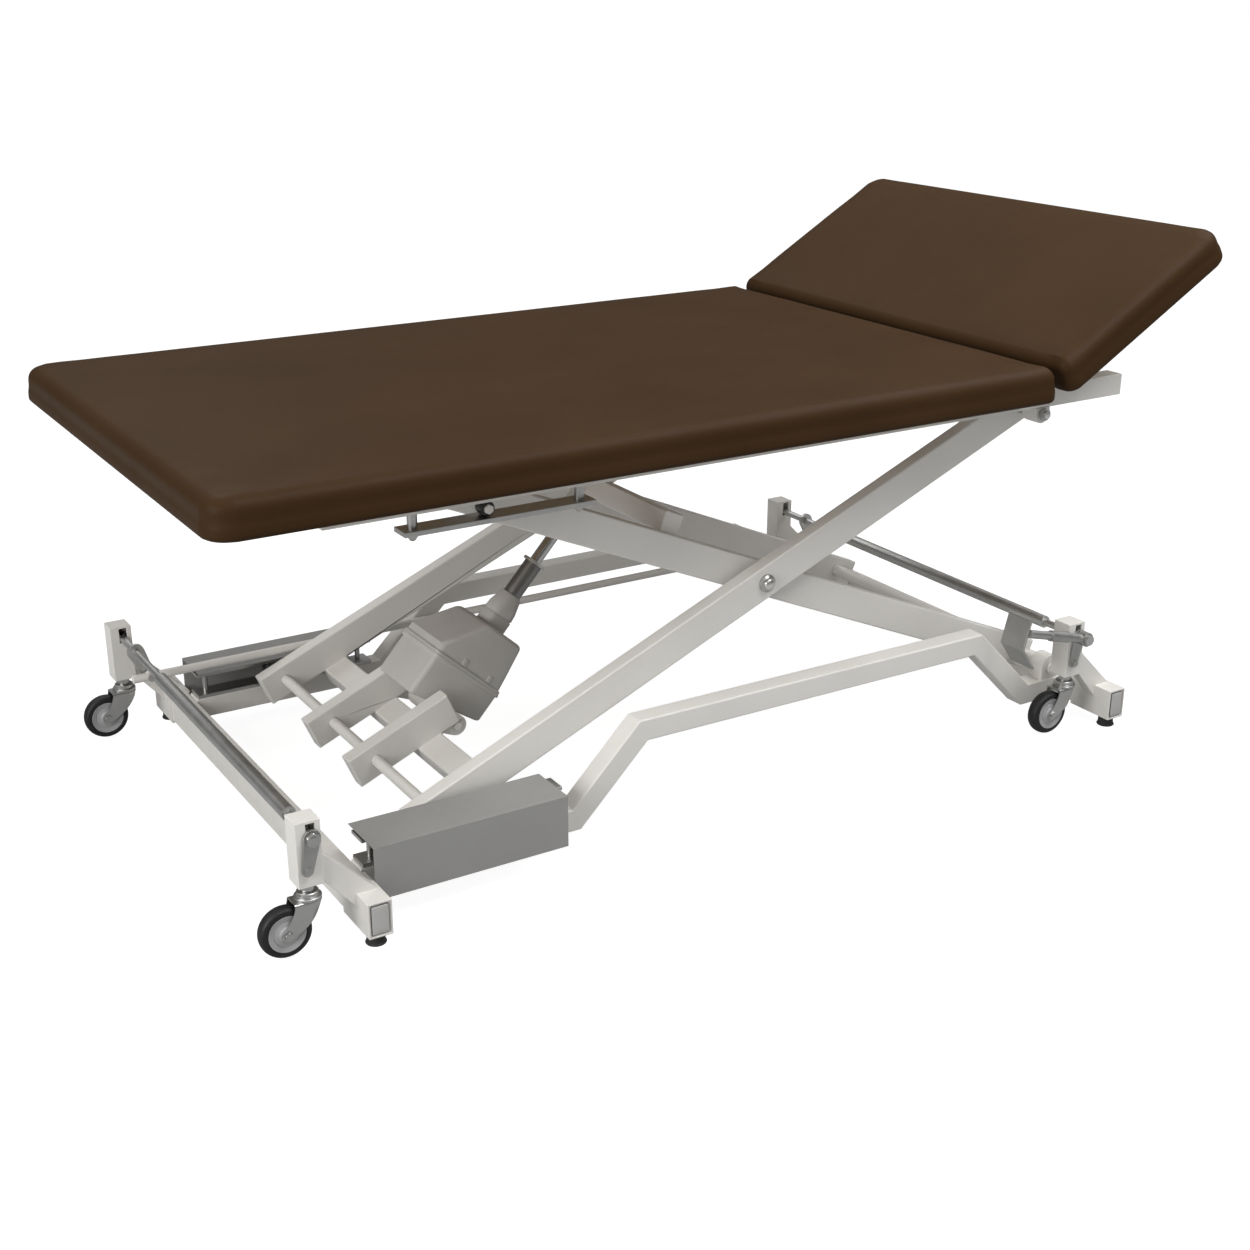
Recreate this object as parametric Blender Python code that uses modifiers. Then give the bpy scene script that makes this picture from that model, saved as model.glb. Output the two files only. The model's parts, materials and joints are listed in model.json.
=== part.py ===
"""Bobath table: wide padded table on a scissor lift with retractable casters.

X runs from the foot end to the head end, -Y is the side with the pedal, Z is up.
All lengths are in metres, all angles in degrees.
"""
import math

import bmesh
import bpy
from mathutils import Matrix, Vector

# Lying surface
PAD_WIDTH = 1.000
MAIN_LENGTH = 1.556
HEAD_LENGTH = 0.436
JOINT_GAP = 0.008
PAD_THICK = 0.057
PAD_CROWN = 0.004
PAD_ROUND = 0.060
PAD_TUCK = 0.004
DECK_THICK = 0.012
DECK_MARGIN = 0.040
HEAD_TILT = 30.0
HINGE_BACK = 0.049
HINGE_DROP = 0.012
LEAF = 0.002
LEAF_REACH = 0.040
LEAF_HALF = 0.330
KNUCKLE_R = 0.0035

# Scissor lift
LIFT_ANGLE = 23.0
ARM_LOW = 0.710
ARM_UP = 0.620
ARM_H = 0.060
ARM_W = 0.030
OUTER_Y = 0.330
ARM_SPACE = 0.013
ARM_TAIL_INNER = 0.048
ARM_TAIL_OUTER = 0.045
ARM_TAIL_TOP = 0.022
LOW_PIVOT_X = 0.692
LOW_PIVOT_Z = 0.105
PIVOT_TUBE_R = 0.0125
PIVOT_JOURNAL_R = 0.008
PIVOT_HEAD_R = 0.013
PIVOT_HEAD_T = 0.006
TOP_TUBE_R = 0.010
TOP_JOURNAL_R = 0.007
TOP_HEAD_R = 0.0115
CENTRE_BOLT_R = 0.010
CENTRE_HEAD_R = 0.016
CENTRE_HEAD_T = 0.008
CENTRE_NUT_T = 0.007
AXLE_R = 0.010
AXLE_SHOULDER = 0.002
ROLLER_PIN_R = 0.006
LOW_ROLLER_R = 0.018
TOP_ROLLER_R = 0.012
ROLLER_PLAY = 0.0005
ROLLER_W = 0.022
ROLLER_EDGE = 0.001

# Base
RAIL = 0.040
RAIL_SPACE = 0.025
RAIL_LOW_Z = 0.060
RAIL_RISE = 0.132
RAIL_KNEE_FOOT = 0.417
RAIL_KNEE_HEAD = 0.137
RAIL_SLOPE = 0.132
FOOT_BEAM_OUT = 0.179
HEAD_BEAM_OUT = 0.070
BEAM_W = 0.034
BEAM_H = 0.052
BEAM_Z = 0.050
SLEEVE_WALL = 0.003
SLEEVE_PLAY = 0.001
SLEEVE_LENGTH = 0.100
BEAM_BEYOND_POST = 0.053
CAP_DEPTH = 0.002
FOOT_SET_IN = 0.023
FOOT_R = 0.017
FOOT_TAPER = 0.003
FOOT_LIP = 0.002
POST = 0.040
POST_WALL = 0.003
POST_SET_BACK = 0.093
POST_OUT = 0.077
POST_HEIGHT = 0.108
POST_OVER_FORK = 0.0135
BRACE = 0.024
BRACE_FOOT = 0.004
BRACE_HEIGHT = 0.050
BRACE_ON_BEAM = 0.006
LUG_R = 0.024
TOP_LUG_R = 0.018
LUG_T = 0.034

# Roller guides
GUIDE_T = 0.006
GUIDE_FROM_BEAM = 0.004
GUIDE_LENGTH = 0.358
TOP_GUIDE_T = 0.008
TOP_GUIDE_BACK = 0.143
TOP_GUIDE_LENGTH = 0.330
GUIDE_BOLT_R = 0.005
GUIDE_BOLT_SET_IN = 0.021
NUT_R = 0.008
NUT_H = 0.004
COVER_T = 0.002
COVER_BOTTOM = 0.044
COVER_OUT = 0.066
COVER_SHORT = 0.015

# Wheel lift
SHAFT_SIDE = 0.004
SHAFT_UNDER_TOP = 0.026
SHAFT_R = 0.007
SHAFT_HEAD_R = 0.010
SHAFT_HEAD_T = 0.006
TORSION_R = 0.012
TORSION_NEAR = -0.400
TORSION_FAR = 0.220
CRANK_X = 0.020
CRANK_Z = -0.048
CRANK_T = 0.0075
CRANK_HUB_R = 0.016
CRANK_EYE_R = 0.011
CRANK_PIN_R = 0.005
CRANK_CAP_T = 0.0025
LINK_SPACE = 0.013
LINK_R = 0.008
LINK_EYE_HALF = 0.006
LINK_TAIL = 0.034
LEVER_SPACE = 0.0015
LEVER_X = -0.010
LEVER_Z = -0.052
LEVER_T = 0.005
LEVER_HUB_R = 0.014
LEVER_END_R = 0.009
LEVER_BOLT_R = 0.007
PEDAL_OUT = 0.017
PEDAL_REACH = 0.153
PEDAL_RISE_ANGLE = 15.0
PEDAL_TUBE_R = 0.008
PEDAL_COLLAR_R = 0.0105
PEDAL_COLLAR_FROM = 0.046
PEDAL_COLLAR_TO = 0.095
TREAD_T = 0.004
TREAD_UP = 0.024
TREAD_DOWN = 0.034
TREAD_RETURN = 0.052
TREAD_SLANT = 50.0
TREAD_W = 0.060

# Casters
SLIDE_LENGTH = 0.060
SLIDE_IN = 0.003
STEM_R = 0.006
STEM_COLLAR_R = 0.011
STEM_HEAD_R = 0.009
STEM_HEAD_T = 0.0022
FORK_ROOM = 0.0175
FORK_HEAD_H = 0.012
FORK_HEAD_ROUND = 0.005
FORK_ROOF = 0.0045
FORK_HEAD_R = 0.021
FORK_LIP = 0.002
FORK_BACK = 0.007
FORK_SHOULDER = 0.014
FORK_WAIST = 0.016
FORK_EYE_R = 0.0105
FORK_PLATE = 0.0025
FORK_SIDE_PLAY = 0.002
FORK_NUT_T = 0.004
WHEEL_R = 0.042
WHEEL_W = 0.026
WHEEL_HUB_R = 0.0126
WHEEL_BOSS = 0.0012
WHEEL_DISH_R = 0.0286
WHEEL_RIM_R = 0.0302
WHEEL_DISH = 0.002
WHEEL_SHOULDER = 0.0042
WHEEL_FLANK = 0.0058
WHEEL_TRAIL = 0.040
WHEEL_LIFT = 0.003
WHEEL_PIN_R = 0.005

# Actuator
ACTUATOR_K = -0.552
ACTUATOR_H = -0.040
LIFT_EYE_K = -0.211
LIFT_EYE_H = -0.012
ACTUATOR_HALF = 0.068
ACTUATOR_PIN_R = 0.008
ACTUATOR_BOSS_R = 0.018
ACTUATOR_SPLIT = 0.085
CASE_UP = 0.103
CASE_DOWN = 0.0577
CASE_TAPER = 0.002
CASE_FOOT = 0.025
CASE_RIM = 0.003
CASE_RIM_W = 0.008
LID_RIM_W = 0.006
LID_STEP = 0.020
LID_HALF = 0.045
LID_UNDER = 0.184
LID_OVER = 0.178
NECK_FOOT = 0.170
NECK_TAPER = 0.200
NECK_TOP = 0.250
NECK_HALF = 0.026
NECK_TIP_HALF = 0.018
NECK_SIDE = 0.021
GUIDE_TUBE_R = 0.016
GUIDE_TUBE_TOP = 0.325
GUIDE_FLANGE_R = 0.0225
GUIDE_FLANGE_T = 0.013
ROD_R = 0.011
ROD_TAIL = 0.200
ROD_BORE_FOOT = 0.118
ROD_EYE_R = 0.014
ROD_EYE_HALF = 0.012
EAR_T = 0.006
EAR_SPACE = 0.016
EAR_ROOT_R = 0.019
EAR_EYE_R = 0.016
STUB_EAR_BACK = 0.020
STUB_EAR_ROOT_R = 0.022
STUB_EAR_EYE_R = 0.019
STUB_PIN_PAST = 0.005
STUB_Y = 0.094
STUB_END_K = -0.545
CROSS_K = -0.610
CROSS_BOX = 0.050
CROSS_DEPTH = 0.034
LIFT_CROSS = 0.040
LIFT_CROSS_K = -0.190
LIFT_CROSS_H = 0.046

# Top frame and head stay
TOP_BACK = 1.414
TOP_AHEAD = 0.196
MID_CROSS_BACK = 0.609
STAY_CROSS_BACK = 0.060
STAY_ROOT_R = 0.014
STAY_FOOT_R = 0.012
STAY_AHEAD = 0.030
STAY_DROP = 0.030
STAY_HEAD_AHEAD = 0.280
STAY_STRAP_W = 0.080
STAY_STRAP_END = 0.030
STAY_SIDE_PLAY = 0.003
STAY_HEAD_DROP = 0.030
STAY_TUBE_W = 0.022
STAY_TUBE_H = 0.016
STAY_TUBE_LENGTH = 0.200
STAY_TUBE_EYE_R = 0.010
STAY_HOLLOW = 0.016
STAY_BAR_W = 0.016
STAY_BAR_H = 0.010
STAY_BAR_TAIL = 0.075
STAY_EYE_R = 0.008
STAY_EAR_R = 0.011
STAY_PIN_R = 0.005

# Fits
GAP = 0.0003
RUN = 0.0001
HINGE_PLAY = 0.0003
WELD = 0.000001
FLAT = 0.0005
SINK = 0.001
ROUND_STEPS = 20

# Points that follow from the sizes above
ANGLE = math.radians(LIFT_ANGLE)
CENTRE_X = LOW_PIVOT_X - ARM_LOW * math.cos(ANGLE)
CENTRE_Z = LOW_PIVOT_Z + ARM_LOW * math.sin(ANGLE)
TOP_PIVOT_X = CENTRE_X + ARM_UP * math.cos(ANGLE)
TOP_PIVOT_Z = CENTRE_Z + ARM_UP * math.sin(ANGLE)
TOP_ROLLER_X = CENTRE_X - ARM_UP * math.cos(ANGLE)
LOW_ROLLER_X = CENTRE_X - ARM_LOW * math.cos(ANGLE)
TOP_RAIL_LOW = TOP_PIVOT_Z + TOP_ROLLER_R + ROLLER_PLAY
TOP_RAIL_HIGH = TOP_RAIL_LOW + RAIL
DECK_Z = TOP_RAIL_HIGH + GAP
PAD_TOP = DECK_Z + PAD_THICK
HINGE_Z = PAD_TOP - HINGE_DROP
HINGE_X = TOP_PIVOT_X - HINGE_BACK
MAIN_END_X = HINGE_X - JOINT_GAP / 2
HEAD_START_X = HINGE_X + JOINT_GAP / 2
FOOT_END_X = MAIN_END_X - MAIN_LENGTH
RAIL_TOP = RAIL_LOW_Z + RAIL / 2
SLEEVE_W = BEAM_W + 2 * SLEEVE_WALL
SLEEVE_H = BEAM_H + 2 * SLEEVE_WALL + 2 * SLEEVE_PLAY
AXLE_Z = WHEEL_R + WHEEL_LIFT
FORK_HEAD_TOP = AXLE_Z + WHEEL_R + FORK_ROOM
POST_BOTTOM = FORK_HEAD_TOP + POST_OVER_FORK
POST_TOP = POST_BOTTOM + POST_HEIGHT
SHAFT_Z = POST_TOP - SHAFT_UNDER_TOP
FOOT_BEAM_X = LOW_ROLLER_X - FOOT_BEAM_OUT
HEAD_BEAM_X = LOW_PIVOT_X + HEAD_BEAM_OUT
GUIDE_FOOT_X = FOOT_BEAM_X + BEAM_W / 2 + GUIDE_FROM_BEAM
TOP_GUIDE_FOOT_X = TOP_ROLLER_X - TOP_GUIDE_BACK
TOP_FOOT_X = TOP_PIVOT_X - TOP_BACK
TOP_LENGTH = TOP_BACK + TOP_AHEAD
STAY_CROSS_X = HINGE_X - STAY_CROSS_BACK
STAY_X = HINGE_X + STAY_AHEAD
STAY_HEAD_X = HINGE_X + STAY_HEAD_AHEAD
INNER_Y = OUTER_Y - ARM_W - ARM_SPACE
LINK_Y = OUTER_Y + ARM_W / 2 + LINK_SPACE
RAIL_Y = OUTER_Y + ARM_W / 2 + RAIL_SPACE + RAIL / 2
COVER_IN_Y = LINK_Y
COVER_OUT_Y = RAIL_Y + COVER_OUT
POST_Y = RAIL_Y + POST_OUT
BEAM_HALF = POST_Y + BEAM_BEYOND_POST
FOOT_Y = BEAM_HALF - FOOT_SET_IN
FOOT_POST_X = FOOT_BEAM_X - POST_SET_BACK
HEAD_POST_X = HEAD_BEAM_X - POST_SET_BACK
FOOT_SHAFT_X = FOOT_POST_X + SHAFT_SIDE
HEAD_SHAFT_X = HEAD_POST_X + SHAFT_SIDE
POST_FACE_Y = POST_Y + POST / 2
LEVER_IN_Y = POST_FACE_Y + LEVER_SPACE
LEVER_OUT_Y = LEVER_IN_Y + LEVER_T
PEDAL_Y = POST_FACE_Y + PEDAL_OUT


def clear_scene():
    """Remove every object of the start-up scene."""
    for item in list(bpy.data.objects):
        bpy.data.objects.remove(item)


def new_collection(name):
    """Return a new collection linked to the scene."""
    collection = bpy.data.collections.new(name)
    bpy.context.scene.collection.children.link(collection)
    return collection


def solid(mesh):
    """Return a working object that holds a mesh in table coordinates."""
    item = bpy.data.objects.new("working_solid", mesh)
    WORKSHOP.objects.link(item)
    return item


def settled(item):
    """Replace a working object by a plain solid of its evaluated mesh."""
    bpy.context.view_layer.update()
    graph = bpy.context.evaluated_depsgraph_get()
    mesh = bpy.data.meshes.new_from_object(item.evaluated_get(graph), depsgraph=graph)
    mesh.transform(item.matrix_world)
    shape = bmesh.new()
    shape.from_mesh(mesh)
    bmesh.ops.remove_doubles(shape, verts=shape.verts, dist=WELD)
    slits = [edge for edge in shape.edges if edge.is_boundary]
    bmesh.ops.holes_fill(shape, edges=slits, sides=4)
    bmesh.ops.dissolve_limit(shape, angle_limit=FLAT, verts=shape.verts, edges=shape.edges)
    bmesh.ops.recalc_face_normals(shape, faces=shape.faces)
    shape.to_mesh(mesh)
    shape.free()
    bpy.data.objects.remove(item)
    return solid(mesh)


def combined(operation, base, others):
    """Return the boolean of a base solid with several others, which are used up."""
    for other in others:
        step = base.modifiers.new("combine", "BOOLEAN")
        step.operation = operation
        step.solver = "EXACT"
        step.object = other
    result = settled(base)
    for other in others:
        bpy.data.objects.remove(other)
    return result


def fused(base, *others):
    """Return one solid welded from several that overlap."""
    return combined("UNION", base, others)


def cut(base, *cutters):
    """Return a solid with the cutters taken away."""
    return combined("DIFFERENCE", base, cutters)


def block(size, centre, turn=0.0):
    """Return a box, turned by an angle in radians about the Y line through its centre."""
    shape = bmesh.new()
    place = Matrix.Translation(centre) @ Matrix.Rotation(turn, 4, "Y")
    bmesh.ops.create_cube(shape, size=1.0, matrix=place @ Matrix.Diagonal((*size, 1.0)))
    mesh = bpy.data.meshes.new("block")
    shape.to_mesh(mesh)
    shape.free()
    return solid(mesh)


def rod(radius, start, end, steps=ROUND_STEPS):
    """Return a round bar between two points."""
    start = Vector(start)
    end = Vector(end)
    span = end - start
    place = Matrix.Translation((start + end) / 2) @ span.to_track_quat("Z", "Y").to_matrix().to_4x4()
    shape = bmesh.new()
    bmesh.ops.create_cone(
        shape, cap_ends=True, segments=steps, radius1=radius, radius2=radius,
        depth=span.length, matrix=place,
    )
    mesh = bpy.data.meshes.new("rod")
    shape.to_mesh(mesh)
    shape.free()
    return solid(mesh)


def slab(outline, low, high, across="Y"):
    """Return a flat outline extruded from low to high across Y (X, Z points) or X (Y, Z points)."""
    shape = bmesh.new()
    ends = []
    for level in (low, high):
        if across == "Y":
            places = [(first, level, second) for first, second in outline]
        else:
            places = [(level, first, second) for first, second in outline]
        ends.append([shape.verts.new(place) for place in places])
        shape.faces.new(ends[-1])
    for index in range(len(outline)):
        corners = (ends[0][index - 1], ends[0][index], ends[1][index], ends[1][index - 1])
        shape.faces.new(corners)
    bmesh.ops.recalc_face_normals(shape, faces=shape.faces)
    mesh = bpy.data.meshes.new("slab")
    shape.to_mesh(mesh)
    shape.free()
    return solid(mesh)


def turned(profile, origin, axis, closed=False, steps=ROUND_STEPS):
    """Return a solid of revolution from (radius, height) points that run down its outer side."""
    points = [(radius, 0.0, height) for radius, height in profile]
    edges = [(index, index + 1) for index in range(len(points) - 1)]
    if closed:
        edges.append((len(points) - 1, 0))
    mesh = bpy.data.meshes.new("profile")
    mesh.from_pydata(points, edges, [])
    item = solid(mesh)
    spin = item.modifiers.new("turn", "SCREW")
    spin.steps = steps
    spin.render_steps = steps
    spin.use_merge_vertices = True
    spin.merge_threshold = WELD
    turn = Vector(axis).to_track_quat("Z", "Y").to_matrix().to_4x4()
    item.matrix_world = Matrix.Translation(origin) @ turn
    return settled(item)


def arc(centre, radius, start, end, steps):
    """Return points on a circle from a start angle to an end angle in degrees."""
    angles = [math.radians(start + (end - start) * step / steps) for step in range(steps + 1)]
    return [(centre[0] + radius * math.cos(a), centre[1] + radius * math.sin(a)) for a in angles]


def strap(first, first_radius, second, second_radius, steps=8):
    """Return the outline of two circles joined by their outer tangents."""
    along = math.degrees(math.atan2(second[1] - first[1], second[0] - first[0]))
    reach = math.dist(first, second)
    spread = math.degrees(math.acos((first_radius - second_radius) / reach))
    back = arc(first, first_radius, along + spread, along + 360 - spread, steps)
    front = arc(second, second_radius, along - spread, along + spread, steps)
    return back + front


def band(path, half):
    """Return the outline of a strip that follows a path, mitred at the bends."""
    left = []
    right = []
    for index, point in enumerate(path):
        here = Vector(point)
        before = (here - Vector(path[index - 1])).normalized() if index else None
        after = (Vector(path[index + 1]) - here).normalized() if index + 1 < len(path) else None
        before = before or after
        after = after or before
        normal = Vector((-before.y - after.y, before.x + after.x)).normalized()
        reach = half / normal.dot(Vector((-before.y, before.x)))
        left.append(tuple(here + normal * reach))
        right.append(tuple(here - normal * reach))
    return right + left[::-1]


def axis_empty(name, place, tilt=0.0):
    """Return an empty on a joint's axis, turned about Y by an angle in radians."""
    empty = bpy.data.objects.new(name, None)
    empty.empty_display_size = 0.03
    empty.location = place
    empty.rotation_euler = (0.0, tilt, 0.0)
    empty.parent = ORIGIN
    TABLE.objects.link(empty)
    return empty


def part(name, item, axis, finish, smooth=False):
    """Name a finished solid, hang it on its joint's empty and give it its material."""
    colour, roughness, metallic = finish
    item.name = name
    item.data.name = name
    WORKSHOP.objects.unlink(item)
    TABLE.objects.link(item)
    item.parent = axis
    item.location = -axis.location
    material = bpy.data.materials.new(name + "_finish")
    material.use_nodes = True
    shader = material.node_tree.nodes["Principled BSDF"]
    shader.inputs["Base Color"].default_value = (*colour, 1.0)
    shader.inputs["Roughness"].default_value = roughness
    shader.inputs["Metallic"].default_value = metallic
    item.data.materials.clear()
    item.data.materials.append(material)
    if smooth:
        item.data.shade_smooth()
    return item


PAINT = ((0.78, 0.75, 0.69), 0.42, 0.0)
ZINC = ((0.62, 0.62, 0.60), 0.30, 0.9)
STEEL = ((0.70, 0.70, 0.70), 0.22, 1.0)
RUBBER = ((0.02, 0.02, 0.02), 0.75, 0.0)
TYRE = ((0.05, 0.05, 0.055), 0.60, 0.0)
GREY_SHEET = ((0.30, 0.30, 0.30), 0.45, 0.0)
CASE = ((0.36, 0.34, 0.31), 0.50, 0.0)
DARK_TUBE = ((0.10, 0.09, 0.08), 0.35, 0.6)
NYLON = ((0.04, 0.04, 0.04), 0.50, 0.0)
VINYL = ((0.060, 0.032, 0.018), 0.45, 0.0)
PLYWOOD = ((0.45, 0.31, 0.18), 0.70, 0.0)

clear_scene()
TABLE = new_collection("bobath_table")
WORKSHOP = new_collection("workshop")
ORIGIN = bpy.data.objects.new("table_origin", None)
TABLE.objects.link(ORIGIN)
BASE_AXIS = axis_empty("base_axis", (0.0, 0.0, 0.0))
LIFT_AXIS = axis_empty("lift_axis", (LOW_PIVOT_X, 0.0, LOW_PIVOT_Z))
CROSS_AXIS = axis_empty("cross_axis", (CENTRE_X, 0.0, CENTRE_Z))
TOP_AXIS = axis_empty("top_axis", (TOP_PIVOT_X, 0.0, TOP_PIVOT_Z))
HEAD_AXIS = axis_empty("head_axis", (HINGE_X, 0.0, HINGE_Z), -math.radians(HEAD_TILT))


def base_beam(name, beam_x, post_x):
    """Make a cross beam with sleeved ends, two caster posts and the braces between them."""
    tube = block((BEAM_W, 2 * (BEAM_HALF - SLEEVE_LENGTH) + 2 * SINK, BEAM_H), (beam_x, 0, BEAM_Z))
    welded = []
    cutters = []
    for side in (-1, 1):
        middle_y = side * (BEAM_HALF - SLEEVE_LENGTH / 2)
        welded.append(block((SLEEVE_W, SLEEVE_LENGTH, SLEEVE_H), (beam_x, middle_y, BEAM_Z)))
        post_z = (POST_BOTTOM + POST_TOP) / 2
        welded.append(block((POST, POST, POST_TOP - POST_BOTTOM), (post_x, side * POST_Y, post_z)))
        wall_x = post_x + POST / 2 - POST_WALL / 2
        brace = [
            (wall_x, POST_BOTTOM + BRACE_FOOT),
            (beam_x - SLEEVE_W / 2 + SINK, BEAM_Z + BRACE_ON_BEAM),
            (beam_x + SLEEVE_W / 2 - BRACE_FOOT, BEAM_Z + SLEEVE_H / 2 - SINK),
            (wall_x, POST_BOTTOM + BRACE_HEIGHT),
        ]
        welded.append(slab(brace, side * POST_Y - BRACE / 2, side * POST_Y + BRACE / 2))
        inside = POST - 2 * POST_WALL
        hollow = POST_TOP - POST_WALL - POST_BOTTOM
        hollow_z = POST_BOTTOM + hollow / 2 - SINK
        cutters.append(block((inside, inside, hollow + 2 * SINK), (post_x, side * POST_Y, hollow_z)))
        slot_w = 2 * (SHAFT_R + GAP)
        slot_top = POST_TOP - POST_WALL - SINK
        slot_low = SHAFT_Z - SHAFT_R - GAP
        slot_x = post_x + SHAFT_SIDE
        slot_z = (slot_top + slot_low) / 2
        cutters.append(block((slot_w, 2 * POST, slot_top - slot_low), (slot_x, side * POST_Y, slot_z)))
        pocket = (SLEEVE_W - 2 * SLEEVE_WALL, 2 * CAP_DEPTH, SLEEVE_H - 2 * SLEEVE_WALL)
        cutters.append(block(pocket, (beam_x, side * BEAM_HALF, BEAM_Z)))
    part(name, cut(fused(tube, *welded), *cutters), BASE_AXIS, PAINT)


def base_rail(name, side):
    """Make a side rail bent up over the middle, with the lug of the low scissor pivot."""
    start = FOOT_BEAM_X + BEAM_W / 2 + GAP
    end = HEAD_BEAM_X - BEAM_W / 2 - GAP
    foot_knee = FOOT_BEAM_X + RAIL_KNEE_FOOT
    head_knee = HEAD_BEAM_X - RAIL_KNEE_HEAD
    high = RAIL_LOW_Z + RAIL_RISE
    path = [
        (start, RAIL_LOW_Z), (foot_knee - RAIL / 4, RAIL_LOW_Z),
        (foot_knee + RAIL_SLOPE - RAIL / 4, high), (head_knee - RAIL_SLOPE, high),
        (head_knee, RAIL_LOW_Z), (end, RAIL_LOW_Z),
    ]
    low_y = side * RAIL_Y - RAIL / 2
    high_y = side * RAIL_Y + RAIL / 2
    rail = slab(band(path, RAIL / 2), low_y, high_y)
    outline = [(LOW_PIVOT_X - LUG_R, RAIL_TOP - SINK), (LOW_PIVOT_X + LUG_R, RAIL_TOP - SINK)]
    outline += arc((LOW_PIVOT_X, LOW_PIVOT_Z), LUG_R, 0, 180, 12)
    lug = slab(outline, side * RAIL_Y - LUG_T / 2, side * RAIL_Y + LUG_T / 2)
    pivot = (LOW_PIVOT_X, LOW_PIVOT_Z)
    bore = rod(PIVOT_JOURNAL_R + RUN, (pivot[0], low_y - SINK, pivot[1]), (pivot[0], high_y + SINK, pivot[1]))
    part(name, cut(fused(rail, lug), bore), BASE_AXIS, PAINT)


def rubber_foot(name, beam_x, side):
    """Make a rubber foot under the end of a beam."""
    top = BEAM_Z - SLEEVE_H / 2 - GAP
    profile = [(0, top), (FOOT_R - FOOT_TAPER, top), (FOOT_R - FOOT_LIP, 2 * FOOT_LIP)]
    profile += [(FOOT_R, FOOT_LIP), (FOOT_R - FOOT_LIP / 2, 0), (0, 0)]
    part(name, turned(profile, (beam_x, side * FOOT_Y, 0), (0, 0, 1)), BASE_AXIS, RUBBER, True)


def low_guide(name, side):
    """Make the cage of two flat bars that the low roller runs in."""
    low = RAIL_TOP + GAP
    high = LOW_PIVOT_Z + LOW_ROLLER_R + ROLLER_PLAY
    middle_x = GUIDE_FOOT_X + GUIDE_LENGTH / 2
    y = side * RAIL_Y
    floor_z = LOW_PIVOT_Z - LOW_ROLLER_R - ROLLER_PLAY
    plate = block((GUIDE_LENGTH, RAIL, floor_z - low), (middle_x, y, (floor_z + low) / 2))
    welded = [block((GUIDE_LENGTH, RAIL, GUIDE_T), (middle_x, y, high + GUIDE_T / 2))]
    top = high + GUIDE_T + NUT_H
    for end in (-1, 1):
        x = middle_x + end * (GUIDE_LENGTH / 2 - GUIDE_BOLT_SET_IN)
        welded.append(rod(GUIDE_BOLT_R, (x, y, floor_z - SINK), (x, y, high + SINK), 16))
        welded.append(rod(NUT_R, (x, y, high + GUIDE_T - SINK), (x, y, top), 6))
    part(name, fused(plate, *welded), BASE_AXIS, ZINC)


def guide_cover(name, side):
    """Make the folded sheet cover over a low roller guide."""
    low = LOW_PIVOT_Z + LOW_ROLLER_R + ROLLER_PLAY + GUIDE_T + NUT_H + GAP
    out = COVER_OUT_Y
    path = [(side * COVER_IN_Y, low + COVER_T / 2), (side * (out - COVER_T / 2), low + COVER_T / 2)]
    path.append((side * (out - COVER_T / 2), COVER_BOTTOM))
    sheet = slab(band(path, COVER_T / 2), GUIDE_FOOT_X, GUIDE_FOOT_X + GUIDE_LENGTH - COVER_SHORT, "X")
    part(name, sheet, BASE_AXIS, GREY_SHEET)


def shaft(name, shaft_x, axis, near_end):
    """Make a torsion shaft with its crank, ended near by a bolt head beyond near_end."""
    far = LEVER_OUT_Y + GAP
    far_end = far + SHAFT_HEAD_T
    last = -near_end - SHAFT_HEAD_T
    profile = [
        (0, far_end), (SHAFT_HEAD_R, far_end), (SHAFT_HEAD_R, far), (SHAFT_R, far),
        (SHAFT_R, TORSION_FAR), (TORSION_R, TORSION_FAR), (TORSION_R, TORSION_NEAR),
        (SHAFT_R, TORSION_NEAR), (SHAFT_R, -near_end), (SHAFT_HEAD_R, -near_end),
        (SHAFT_HEAD_R, last), (0, last),
    ]
    bar = turned(profile, (shaft_x, 0, SHAFT_Z), (0, 1, 0), steps=16)
    pin = (shaft_x + CRANK_X, SHAFT_Z + CRANK_Z)
    near = LINK_Y + LINK_R + SINK
    crank = slab(strap((shaft_x, SHAFT_Z), CRANK_HUB_R, pin, CRANK_EYE_R), near, near + CRANK_T)
    stub_end = LINK_Y - LINK_R - SINK / 2
    stub = rod(CRANK_PIN_R, (pin[0], near + SINK, pin[1]), (pin[0], stub_end - SINK, pin[1]), 20)
    cap = rod(NUT_R, (pin[0], stub_end, pin[1]), (pin[0], stub_end - CRANK_CAP_T, pin[1]), 12)
    part(name, fused(bar, crank, stub, cap), axis, ZINC)


def link_rod(name, axis):
    """Make the rod that joins the two cranks."""
    foot = FOOT_SHAFT_X + CRANK_X
    head = HEAD_SHAFT_X + CRANK_X
    z = SHAFT_Z + CRANK_Z
    bar = rod(LINK_R, (foot - LINK_TAIL, LINK_Y, z), (head + CRANK_EYE_R, LINK_Y, z), 20)
    half = LINK_EYE_HALF
    eyes = [rod(CRANK_EYE_R, (x, LINK_Y - half, z), (x, LINK_Y + half, z)) for x in (foot, head)]
    through = LINK_R + SINK
    bores = []
    for x in (foot, head):
        ends = ((x, LINK_Y - through, z), (x, LINK_Y + through, z))
        bores.append(rod(CRANK_PIN_R + HINGE_PLAY, *ends, 20))
    part(name, cut(fused(bar, *eyes), *bores), axis, PAINT)


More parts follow.
